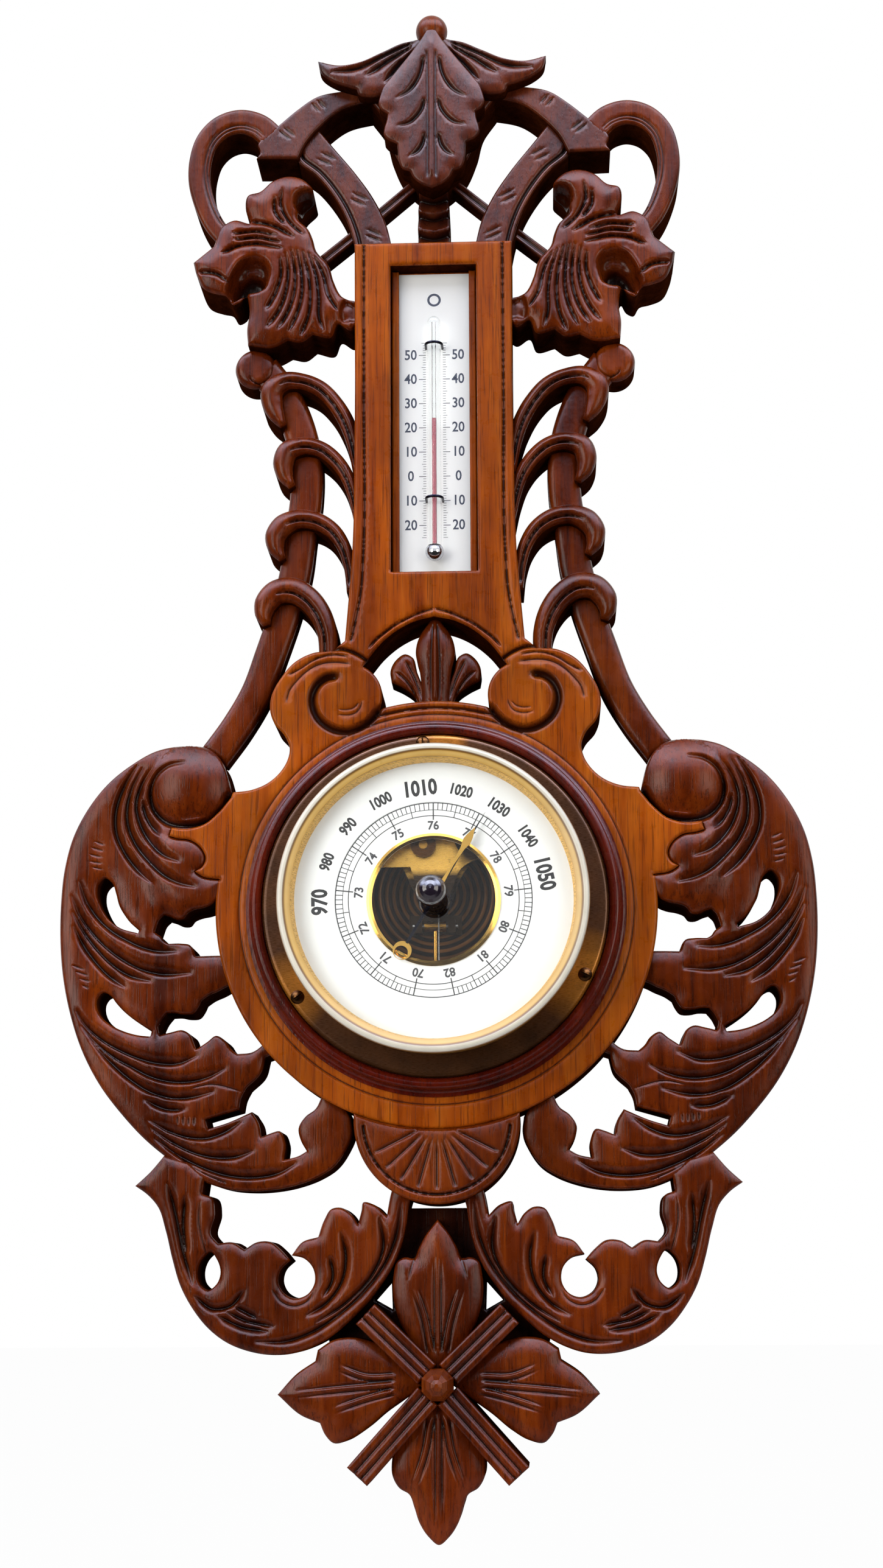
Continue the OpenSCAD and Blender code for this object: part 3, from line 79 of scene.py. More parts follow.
# Outlines, all for the viewer's right side. Knots are [x, z], or [x, z, 1] at a sharp corner.
COLUMN = [[0, 292, 1], [34.5, 292, 1], [34.5, 200], [35.5, 150], [37, 130], [38.5, 112, 1], [44, 108],
    [52, 107], [60, 103], [66, 96], [70, 88], [70.5, 82], [68.5, 76], [64, 70.5], [62, 65], [63, 60],
    [66, 55], [71, 50.5], [78, 47.5], [86, 46.5, 1]]
ARCH = [[0, 122.2], [8, 120.4], [16, 116.4], [23, 110.6], [29, 103.2, 1]]
WING = [[80, 48, 1], [87, 46.5, 1], [88.5, 53], [91.5, 61], [97, 66.5], [107, 68], [120, 66], [130, 60.5],
    [140, 52.5], [149, 41], [155, 29], [158.5, 15], [159.8, 0], [159.8, -15], [158.5, -30], [155, -47],
    [149.5, -63], [142, -77], [132, -90], [122, -100.5], [113.5, -107.5], [105, -113.5], [97, -118],
    [88, -121], [78, -122], [68, -121.5], [58, -119.5], [50, -116.5], [43, -112], [38, -105], [35.5, -99],
    [36, -92, 1], [40, -84, 1], [48, -82, 1], [51, -88], [55, -91], [58, -96], [57, -101],
    [54.5, -105.5, 1], [58, -107.5], [64, -109, 1], [63.5, -102], [66, -97], [69, -97.7], [73.5, -99.5, 1],
    [74.5, -94], [77.5, -89, 1], [88, -93.5], [96, -96, 1], [97, -92, 1], [90, -90], [83, -88, 1],
    [82, -83], [80, -79, 1], [74, -73], [72, -66, 1], [66, -64, 1], [70, -58, 1], [78, -64], [84, -64.6, 1],
    [86.5, -62.5], [89, -59], [93, -56.8], [96.5, -59.3], [101.3, -62.5, 1], [102.3, -59.8], [103.7, -56.5],
    [107, -54.4], [112, -55.2], [116.8, -56.4, 1], [117.6, -53, 1], [116, -49.8], [113.8, -47.1, 1],
    [110.5, -47], [106.5, -47.7], [102.5, -47.2], [100.6, -44.8], [99.3, -42, 1], [96.5, -40], [92, -38],
    [88, -36], [84, -35, 1], [84, -23, 1], [92, -22.8], [102.2, -23, 1], [102.9, -20.2], [104.4, -18.2],
    [108, -17.5], [113.5, -17.5, 1], [115.2, -16.6], [116.8, -14.4], [119.5, -12.6, 1], [118.7, -10],
    [117.6, -7.2], [115.6, -5.2, 1], [113, -6], [110, -7.3], [107, -7.1], [105.3, -5], [102, -3.6],
    [98, -2.8], [94, -1], [91.3, 3.2], [90, 7.5, 1], [91, 9, 1], [99, 10.5], [102, 12.5, 1], [98.5, 15],
    [97.5, 18], [99, 22], [104, 26], [110, 27], [113, 28, 1], [112, 31.5, 1], [106, 31], [98, 33], [92, 38],
    [87, 44, 1], [80, 44, 1]]
EAR = WING[-15:-1][::-1]     # the board's ear ends where the wing begins
WING_HOLES = [
    [[141, 11], [143.6, 8.5], [144.2, 4], [142.6, -1.5], [139.5, -6.5], [134.5, -10.4], [126.6, -12.9, 1],
     [126.2, -11.4, 1], [129.3, -9], [132.3, -5.3], [134.8, -1], [136.2, 4], [138, 8.8]],
    [[141, -38], [143.3, -40.5], [143.6, -44], [142, -48], [138, -51.6], [132, -54.6], [126, -56.3],
     [120.8, -56.9, 1], [120.2, -54.6, 1], [124.5, -52], [128.5, -49.2], [132.5, -45.8], [135.5, -42.5],
     [138, -39.3]]]
HEAD = [[52, 291], [53, 295], [55, 300], [60, 306], [58, 312], [53, 318], [58, 324], [64, 325.5],
    [71, 323.5], [77, 318.5], [82, 317], [83, 310], [81, 304], [88, 305.5], [93, 303], [97, 293.5, 1],
    [106, 286, 1], [104.5, 280], [101, 273.5], [95, 271], [91, 270], [88, 266], [85, 267.5], [83, 271],
    [81, 263], [82, 254], [81.5, 247, 1], [70, 246], [64, 249, 1], [58, 248], [53, 251.5, 1], [45, 250],
    [42, 256], [36, 253], [33, 255, 1], [33, 266, 1], [40, 268.5], [44, 276], [46, 283]]
HORN = [[71, 344], [78, 350.5], [86, 352.7], [94, 350.5], [100.5, 344], [103.5, 335], [104, 325],
    [101.5, 314], [97, 304], [91.5, 297]]
# The open jaw, and the throat inside it
JAW = [[73.6, 275.5], [72.8, 281], [75, 285], [80, 286.3], [84.3, 284.6], [87, 281], [89, 276.5],
    [90.3, 272], [88.3, 267.8], [85, 269.6], [82, 271.4], [77, 271.8], [74.6, 273.2]]
THROAT = [[75, 275], [76.2, 278.6], [80, 279.8], [84, 278], [87, 274], [88.2, 270.3], [85, 271.3],
    [80, 272.4], [76.6, 273]]
EYE = (55, 312.5, 5.6)       # x, z and radius
NECK_HOLLOW = [[34, 257, 1], [40, 257], [41, 262], [38.5, 266.5], [34, 264.5, 1]]
LIP = [[80, 287], [84.7, 285.2], [88, 281], [90.6, 275]]
ROD = [[76, 240], [66, 226], [60, 212], [56.5, 196], [56.5, 180], [59, 162], [61, 146], [65, 130],
    [71.5, 110], [78, 92], [86, 78], [96, 64]]
ARCH_BAND = [[24, 369, 1], [38, 366], [52, 363], [60, 357.5], [67, 351.5], [72, 347], [78, 340.5],
    [77, 337], [78.5, 334.5, 1], [60, 334, 1], [56, 342], [49, 350], [40, 357], [24, 361, 1]]
LOW_BAND = [[63, 340, 1], [60, 334], [52, 327], [45, 318], [39.5, 308], [36, 298], [34.5, 291, 1],
    [18, 291, 1], [21.5, 305], [27, 316.5], [34, 327], [45, 341], [52, 350, 1]]
STRAP = [[8, 326], [22, 314], [36, 302], [50, 290.5]]
SPINE = [[0, 330, 1], [6, 328, 1], [7, 306], [7, 291, 1], [0, 291, 1]]
BACKING = [[0, 386], [10, 380], [20, 371], [26, 369.5, 1], [28, 361, 1], [22, 352], [19, 341], [13, 328],
    [6, 321], [0, 318]]
CREST_LEAF = [[0, 389], [5, 382], [9.7, 375.5], [14.3, 369.6], [18.2, 364.6], [20.9, 361], [22.4, 357],
    [23.2, 352.4], [22.2, 350.2], [19.2, 348, 1], [19.7, 344.8], [20.8, 340.8], [20.9, 338], [19.5, 336.2],
    [15.1, 333.8, 1], [14.8, 330.1], [14.4, 325.8], [12.9, 322.2], [9.5, 320.8, 1], [8, 317.8], [4.8, 315],
    [0, 312.9, 1]]
SIDE_LEAF = [[2, 386, 1], [12, 384.4], [22, 380], [32, 375.6], [41, 374.2], [50.5, 376.2, 1], [49.3, 371],
    [44, 366.4], [38, 364], [33.4, 362.6, 1], [32.2, 359.8], [28, 358.8], [20, 359.5, 1], [12, 369, 1]]
FLEURON_PETAL = [[0, 124], [4, 119.5], [7.5, 113.5], [8.5, 108], [7, 101], [6, 92], [6, 82, 1], [0, 82, 1]]
FLEURON_SIDE = [[3, 82, 1], [5, 92], [8, 100], [10, 106.5], [13, 108], [17, 105.5], [19.5, 100.5],
    [19, 95.5, 1], [14, 93], [9, 89], [7, 82, 1]]
ACANTHUS = [[126, -119.5, 1], [120, -114], [114, -107, 1], [104, -110, 1], [97, -116, 1], [98, -123, 1],
    [94, -124.5], [92.5, -131], [94, -140], [91, -143.5, 1], [85, -143], [80, -146, 1], [75, -143],
    [69, -143], [65, -146], [61, -150.5, 1], [65, -154.5], [66, -159], [64, -163.5], [59, -166],
    [54, -164.5], [51, -160], [51.5, -154], [55, -150], [60.5, -148.5, 1], [56, -143], [49.5, -141, 1],
    [47, -134], [44, -129.5], [40, -129], [36, -131.5], [33, -136, 1], [31.5, -130], [31, -127], [26, -128],
    [21, -132.5, 1], [19.5, -124], [17, -116, 1], [8, -118, 1], [12, -129], [13, -136], [15.5, -146],
    [19, -154], [24, -161.5], [29, -168], [36, -175], [43, -181], [52, -186], [60, -188.5], [69, -189],
    [78, -187.5], [87, -184], [95, -178], [101.5, -170], [106.5, -161], [110, -150], [113, -138],
    [116.5, -128], [121, -123]]
TEAR = [[97, -149], [99.5, -155], [98.5, -160], [95, -162.5], [91.5, -160], [90, -156], [91.5, -150],
    [94, -147]]
TOP_PETAL = [[0, -134, 1], [4, -139], [8, -146], [10, -150], [13.5, -149.5], [16.5, -151], [18.3, -157],
    [18.5, -165], [16.5, -174], [10, -187], [3, -198], [0, -200]]
SIDE_PETAL = [[66, -205, 1], [58, -196.5], [50.5, -191.5, 1], [49.5, -187, 1], [43, -183], [36, -182],
    [28, -183.5], [20, -187], [10, -194], [4, -200, 1], [12, -206], [22, -213], [30, -219.5], [37, -223.5],
    [43, -224.5], [46.5, -221], [48.5, -216.5, 1], [56, -213.5]]
LOW_PETAL = [[0, -200], [6, -208], [13, -216], [17, -223], [19, -231], [18.7, -238], [16, -242.5],
    [12, -245], [10, -250], [8, -256], [4, -262], [0, -265]]
WEB = [[0, -129, 1], [13, -129, 1], [17, -144], [26, -162], [36, -172], [46, -181], [44, -190, 1],
    [0, -196, 1]]
WEB_HOLE = [[19.8, -159.5, 1], [26.5, -167, 1], [19.4, -171, 1]]

# Hooks from the rod to the column, from the top down. Knots are [x, z, width].
HOOKS = [
    [[66, 210.5, 3], [68.3, 214.3, 6.5], [70.6, 220, 9.2], [70.9, 227, 10.2], [66, 231, 8.4],
     [58, 231, 7.2], [50, 227.5, 7.2], [43, 220, 7], [38, 211, 7], [34.7, 200, 6], [32.6, 188, 5.5]],
    [[62, 182.8, 3], [64.8, 187.3, 6.8], [66, 193.2, 9], [64.2, 199, 9.2], [58, 201.4, 8], [50, 200, 7],
     [43, 194.5, 6.5], [38, 187, 6], [34.6, 177, 5.5], [32.4, 166, 5]],
    [[66, 150, 3], [68.8, 155, 7], [69.2, 160.4, 9.2], [66, 165.4, 9.8], [60, 168.1, 8.6], [52, 167.4, 8],
     [44.6, 163, 7], [39.3, 155, 6], [36.8, 146, 5.2], [35.6, 135, 5]],
    [[72.8, 120.8, 3.4], [74, 125.5, 7.5], [73.2, 130.4, 10], [69, 135.3, 11], [62, 136.4, 11.5],
     [55, 132.5, 10.5], [49.6, 125.5, 9.6], [46.6, 117, 8.6], [46, 107, 8], [46, 103, 8]]]

# What the chisel cut into the faces
LOBE = [[84, 34], [100, 36], [112, 33], [120, 24], [120, 10], [112, -2], [98, -8], [84, -8]]
CRESCENT = [[107, 59.8], [114, 58.6], [119.5, 54.5], [122, 48], [120.7, 40.5], [115, 34.7], [106, 32.7],
    [97, 34.5], [90.3, 40.5], [87.6, 46]]
WING_STROKES = [
    [[128, 59.5], [132, 53.5], [135.3, 46], [137, 38], [136.5, 30], [133, 22], [127, 14], [121, 8.5]],
    [[125.5, 58.5], [130, 50], [132, 42], [131.5, 33], [128, 25], [122, 17.5], [115, 11], [108, 7.5],
     [102, 6]],
    [[122.5, 57], [126.5, 50], [128.2, 42], [126, 33], [121, 25], [115, 19.5], [109, 17]],
    [[125.5, 45], [124.5, 39], [121, 32.5], [117.5, 29]],
    [[151.5, 9], [149, 1.5], [144.6, -5.5], [138.4, -11.5], [131, -16], [124, -19.2], [117, -20.8],
     [110, -20.9]],
    [[154.5, 3], [151.5, -5], [146.3, -12.5], [140.2, -18.8], [133, -24.2], [125, -28.4], [116, -30.5],
     [104, -30.4]],
    [[154, -4], [149.5, -12.5], [143.8, -20], [137.2, -26.5], [130, -31], [121, -33.6]],
    [[153.5, -10], [149.7, -18], [144.6, -25], [138.6, -31.2], [132, -35.8]],
    [[152, -46], [149, -51], [143, -57], [135, -62], [126, -66], [117, -68.3], [108, -68.3], [101, -65.5]],
    [[150, -52], [144, -59], [137, -65], [128, -70], [120, -74], [112, -76], [103, -76], [96, -74.3],
     [89, -71]],
    [[146, -58], [138, -67], [129, -75], [120, -80.5], [111, -83], [103, -82.7], [94, -80.7]],
    [[122, -84], [114, -87.5], [106, -88]],
    [[120, -92.5], [112, -97], [104, -99.5], [96, -99.7], [88, -96.8], [82, -93]],
    [[119, -96], [110, -102], [100, -106.5], [92, -108], [84, -107.7], [77, -105.5]],
    [[118, -100], [108, -107], [98, -112], [88, -115.3], [76, -116.3], [66, -114.5], [58.5, -110.5]]]
WING_TICKS = [[[141.5, 25], [145, 26.5]], [[141.8, 22.3], [146.5, 24]], [[142.5, 19.7], [147, 21]],
    [[142.3, 17], [147, 18]], [[142, 14.5], [146, 15.5]], [[149, -28.5], [154, -26.5]],
    [[147.5, -31], [152, -29.3]], [[146.5, -33.6], [150.5, -32.3]], [[147, -36.5], [149.5, -35]],
    [[108.5, -90.5], [108.5, -94]], [[106.2, -90.8], [106.2, -94.3]], [[103.9, -91], [103.9, -94.5]],
    [[101.6, -91], [101.6, -94.5]]]
WING_EDGES = [
    [[82, -80.3], [95, -77.5], [103, -79]],
    [[120, -95], [112, -104], [104, -110.5], [97, -114.6], [88, -118.5]]]
HEAD_STROKES = [
    [[52.5, 287], [48.3, 278], [46.2, 269], [42, 261.5]],
    [[55, 288.5], [51.6, 278], [50.2, 268], [50, 258], [48.5, 253]],
    [[57.5, 289], [55, 279], [54, 268], [55.2, 258], [58, 251]],
    [[60, 289.5], [58, 279], [57.8, 269], [60, 260], [63, 253]],
    [[62.5, 289.5], [60.9, 280], [61.2, 270], [64, 261], [68, 254]],
    [[65, 288.5], [63.9, 280], [64.7, 271], [67.8, 262], [72.5, 255]],
    [[67.5, 286], [67, 279], [69, 271], [73, 263]],
    [[66.5, 318.5], [67.3, 311], [64, 304], [57.5, 297.5]],
    [[70, 314.5], [69.8, 308], [66, 302.5]],
    [[61.5, 296], [69.5, 301], [80, 304.2]],
    [[69, 296.7], [78, 299.2], [88, 298.3]],
    [[67.5, 293.7], [77, 296.2], [87, 295.5]],
    [[67, 290.7], [76, 293.2], [86, 292.5], [92.5, 289.5]],
    [[90, 275.5], [95, 279.5], [103, 281.2]]]
ARCH_MARKS = [[[50.5, 356], [53.5, 359.5]], [[48, 357.5], [51, 361]], [[61.5, 344.5], [66, 348.3]],
    [[63.5, 343], [68, 346.8]]]
LOW_MARKS = [[[43.5, 334.5], [49, 337.5]], [[45.5, 332], [51, 334.7]], [[29, 315], [35, 318]],
    [[30.5, 312.5], [36, 315.3]], [[23, 298], [29, 301]], [[23.5, 295.5], [29.5, 298.2]]]
CREST_STROKES = [
    [[1.9, 318], [1.7, 346], [1.9, 376]],
    [[3.4, 373.3], [4.6, 367], [6.8, 362], [10, 358], [14.8, 355]],
    [[3, 353.6], [4, 350], [6.6, 346], [9.8, 343.2], [14.5, 341.8]],
    [[3, 337.2], [4, 333], [6.4, 329.5], [9.4, 327.5]]]
SIDE_STROKES = [[[8, 384.5], [20, 379], [32, 372.9], [44, 370.6]], [[9, 382.2], [19, 375.8], [28.5, 368.8]],
    [[8, 379.6], [14, 373.8], [20.5, 365.5]]]
ACANTHUS_STROKES = [
    [[112, -119], [108.5, -133], [105.5, -147], [101.5, -160]],
    [[105, -124], [105.7, -136], [104.3, -149]],
    [[100.5, -165], [93, -170.2], [86, -169.2], [80, -163]],
    [[90.5, -173.2], [81, -177.6], [70, -179.5]],
    [[87, -171.5], [79, -175.2], [68, -177.4]],
    [[83.5, -169.5], [74.5, -174.2]],
    [[40, -139], [38, -149.5], [40, -160], [46, -168], [54, -173]],
    [[44.5, -149], [43.5, -158], [47, -165.5]],
    [[24, -133.5], [22.5, -145], [28, -158], [38, -168], [50, -176]],
    [[15, -127], [17, -140], [22, -152.3], [30, -162.8], [41, -172.8], [52, -179.8], [63, -183.5],
     [75, -183.6]]]
LOW_BEVELS = [
    [[50.5, -163], [54, -167.5], [59, -169.3], [64.5, -167.5], [68, -163]],
    [[98.5, -125.5], [99, -133], [97.5, -142], [96, -147]]]
PETAL_STROKES = [[[0, -188], [0, -170], [0, -150]], [[2.8, -188], [5.2, -175], [9, -163]],
    [[0, -213.5], [0, -234], [0, -255]], [[3.2, -214.5], [5.2, -227], [9.5, -240]],
    [[18, -200.9], [38, -202.5], [58, -204.5]], [[18, -197.7], [30, -197.7], [40, -194]],
    [[18, -203.6], [30, -206.7], [42, -210.7]]]
# Strokes on the board's right shoulder: [knots, reach left and right, depth, half width of the dark line of painted
# shade]
VOLUTE_STROKES = [
    [[[42, 96.6], [46, 96], [49.2, 94], [51.4, 91], [52.6, 87], [52.2, 82.5], [50, 77.8], [46.6, 74.6],
      [42, 72.4], [37, 71.9], [32.5, 73.2], [28.8, 75.4], [25.8, 78.2],
      [23.4, 81.6]], (1.8, 3.2), 4.4, 1.9],
    [[[62, 97.5], [57.5, 100], [53, 103], [48.5, 105], [43, 105.8], [38, 105.2]], (0.9, 0.9), 1.2, 0.5],
    [[[63.5, 86], [62, 91], [59.3, 94.5], [55.4, 98.4], [51, 101.2], [46.8, 102.4], [42, 102.6],
      [37, 102]], (1.1, 1.1), 1.4, 0.55],
    [[[27, 101], [29.4, 103.4], [32.4, 105.6], [35.6, 107.2], [39.6, 108.4],
      [44, 108.2]], (1.2, 1.8), 2.4, 0.8],
    [[[40.5, 79.4], [36.6, 79.3], [33.8, 80.2], [32, 82.2], [31.2, 84.4]], (0.8, 0.8), 0.8, 0.3],
    [[[40.3, 81.7], [37, 81.7], [34.6, 82.4], [33, 84]], (0.8, 0.8), 0.8, 0.3]]
COLUMN_LINE = [[30.4, 291], [30.4, 220], [30.6, 150], [31.6, 134], [33.4, 123], [35.8, 112]]
ARCH_LINE = [[1.2, 125.4], [6, 124], [11.2, 121.6], [16.3, 119], [21, 115.6], [25.3, 112], [28, 108.8]]
FLEURON_VEINS = [[[6, 88], [9, 97], [12.5, 104]], [[8, 88], [12, 95], [16.5, 99.5]]]


# Curves

STEP = 1.0       # distance between the points of a curve


def curve(knots, closed=True):
    """Points about a step apart on a smooth curve through the knots."""
    k = [np.array(p[:2], float) for p in knots]
    sharp = [len(p) == 3 for p in knots]
    n = len(k)
    if not closed:
        sharp[0] = sharp[-1] = True

    def heading(i):
        a, b, c = k[i - 1], k[i], k[(i + 1) % n]
        before, after = np.linalg.norm(b - a), np.linalg.norm(c - b)
        return ((b - a) * after / before + (c - b) * before / after) / (before + after)

    out = []
    for i in range(n if closed else n - 1):
        j = (i + 1) % n
        a, b = k[i], k[j]
        d = np.linalg.norm(b - a)
        ta = (b - a) if sharp[i] else heading(i) * d
        tb = (b - a) if sharp[j] else heading(j) * d
        steps = max(1, int(round(d / STEP)))
        for t in (s / steps for s in range(steps)):
            out.append(a * (1 + t * t * (2 * t - 3)) + ta * (t + t * t * (t - 2))
                       + b * (t * t * (3 - 2 * t)) + tb * (t * t * (t - 1)))
    if not closed:
        out.append(k[-1])
    return np.array(out)


def path(knots):
    return curve(knots, closed=False)


def box(x0, z0, x1, z1):
    return curve([[x0, z0, 1], [x1, z0, 1], [x1, z1, 1], [x0, z1, 1]])


def both(knots):
    """Curve round an outline that is the same on both sides of the middle line."""
    return curve(list(knots) + [[-p[0]] + list(p[1:]) for p in knots[-2:0:-1]])


def flip(points):
    return points * np.array([-1.0, 1.0])


def closed_by_mirror(*lines):
    """Closed outline from lines that run down the right side, and their reflection."""
    half = np.concatenate(lines)
    return np.concatenate([half, flip(half[1:-1])[::-1]])


def arc(x, z, r, a0, a1):
    """Points on a circle from angle a0 to a1, in degrees counterclockwise from the right."""
    n = max(2, int(abs(math.radians(a1 - a0)) * r / STEP) + 1)
    a = np.radians(np.linspace(a0, a1, n))
    return np.stack([x + r * np.cos(a), z + r * np.sin(a)], 1)


def circle(x, z, r):
    return arc(x, z, r, 0, 360)[:-1]


def sides(line):
    """Direction to the left of a line, at each of its points."""
    d = np.gradient(line, axis=0)
    d /= np.maximum(np.linalg.norm(d, axis=1), 1e-9)[:, None]
    return np.stack([-d[:, 1], d[:, 0]], 1)


def ribbon(line, start, end=None):
    """Closed outline of a band along a line, whose width goes from start to end or is given at each point."""
    half = (np.linspace(start, end, len(line)) if end else start)[:, None] / 2
    n = sides(line)
    return np.concatenate([line + n * half, (line - n * half)[::-1]])


def crossing(c0, r0, c1, r1, upper=True):
    """Point where two circles cross."""
    c0, c1 = np.array(c0, float), np.array(c1, float)
    d = np.linalg.norm(c1 - c0)
    a = (r0 * r0 - r1 * r1 + d * d) / (2 * d)
    h = math.sqrt(r0 * r0 - a * a)
    e = (c1 - c0) / d
    p = [c0 + e * a + np.array([-e[1], e[0]]) * s * h for s in (1, -1)]
    return max(p, key=lambda q: q[1]) if upper else min(p, key=lambda q: q[1])


def angle_of(c, p):
    return math.degrees(math.atan2(p[1] - c[1], p[0] - c[0]))


def compass(angle):
    """Unit vectors along and to the right of a clockwise angle from the top, in degrees."""
    a = math.radians(angle)
    return np.array([math.sin(a), math.cos(a)]), np.array([math.cos(a), -math.sin(a)])


CHUNK = 3000     # points measured at a time, to save memory


def nearest(points, line, closed=False, signed=False):
    """Distance from each point to a line of points, and where along it that is, 0 to 1.

    With signed, points to the right of the line's direction get a distance below 0.
    """
    a, b = line, np.roll(line, -1, axis=0)
    if not closed:
        a, b = a[:-1], b[:-1]
    ab = b - a
    length = np.maximum((ab ** 2).sum(1), 1e-12)
    along0 = np.concatenate([[0], np.cumsum(np.sqrt(length))])
    best, where = np.zeros(len(points)), np.zeros(len(points))
    for i in range(0, len(points), CHUNK):
        p = points[i:i + CHUNK, None, :]
        t = np.clip(((p - a) * ab).sum(2) / length, 0, 1)
        d = ((a + t[..., None] * ab - p) ** 2).sum(2)
        j = d.argmin(1)
        r = np.arange(len(j))
        best[i:i + CHUNK] = np.sqrt(d[r, j])
        where[i:i + CHUNK] = (along0[j] + t[r, j] * np.sqrt(length[j])) / along0[-1]
        if signed:
            q = p[:, 0] - a[j]
            right = ab[j, 0] * q[:, 1] - ab[j, 1] * q[:, 0] < 0
            best[i:i + CHUNK][right] *= -1
    return best, where


def inside(points, loops):
    """True for points inside the loops by the even-odd rule."""
    result = np.zeros(len(points), bool)
    for a in loops:
        b = np.roll(a, -1, axis=0)
        dz = np.where(np.abs(b[:, 1] - a[:, 1]) < 1e-12, 1e-12, b[:, 1] - a[:, 1])
        for i in range(0, len(points), CHUNK):
            p = points[i:i + CHUNK, None, :]
            crosses = (a[:, 1] > p[..., 1]) != (b[:, 1] > p[..., 1])
            x = a[:, 0] + (p[..., 1] - a[:, 1]) * (b[:, 0] - a[:, 0]) / dz
            result[i:i + CHUNK] ^= (crosses & (p[..., 0] < x)).sum(1) % 2 == 1
    return result


def delaunay(points, edges):
    """Triangulation that keeps the edges: its points, its triangles, and which given point each of its points was.

    A point that the triangulation added has -1.
    """
    out = geometry.delaunay_2d_cdt([Vector(q) for q in points], edges, [], 0, 1e-5)
    at = np.array([[v[0], v[1]] for v in out[0]])
    corners = np.array([list(f) for f in out[2] if len(f) == 3])
    return at, corners, [given[0] if len(given) else -1 for given in out[3]]


def doubled_area(a, b, c):
    """Twice a triangle's area, below 0 where its corners run clockwise."""
    return (b[..., 0] - a[..., 0]) * (c[..., 1] - a[..., 1]) - (b[..., 1] - a[..., 1]) * (c[..., 0] - a[..., 0])


def thin_out(group, gap, kept):
    """Adds to kept each point of the group that is at least gap from all those kept so far."""
    cells = {}

    def cell(q):
        return int(q[0] // gap), int(q[1] // gap)

    for q in kept:
        cells.setdefault(cell(q), []).append(q)
    for x, z in group.tolist():
        cx, cz = cell((x, z))
        near = [o for i in (-1, 0, 1) for j in (-1, 0, 1) for o in cells.get((cx + i, cz + j), ())]
        if all((o[0] - x) ** 2 + (o[1] - z) ** 2 >= gap * gap for o in near):
            kept.append((x, z))
            cells.setdefault((cx, cz), []).append((x, z))


# Carved relief

def unit(v):
    """Values held between 0 and 1."""
    return np.clip(v, 0, 1)


def swell(t, taper, tip):
    """How full a stroke is where it is t along. It grows and fades over its tapers, and ends a tip beyond them."""
    return unit(np.minimum((t + tip) / max(taper[0], tip), (1 + tip - t) / max(taper[1], tip)))


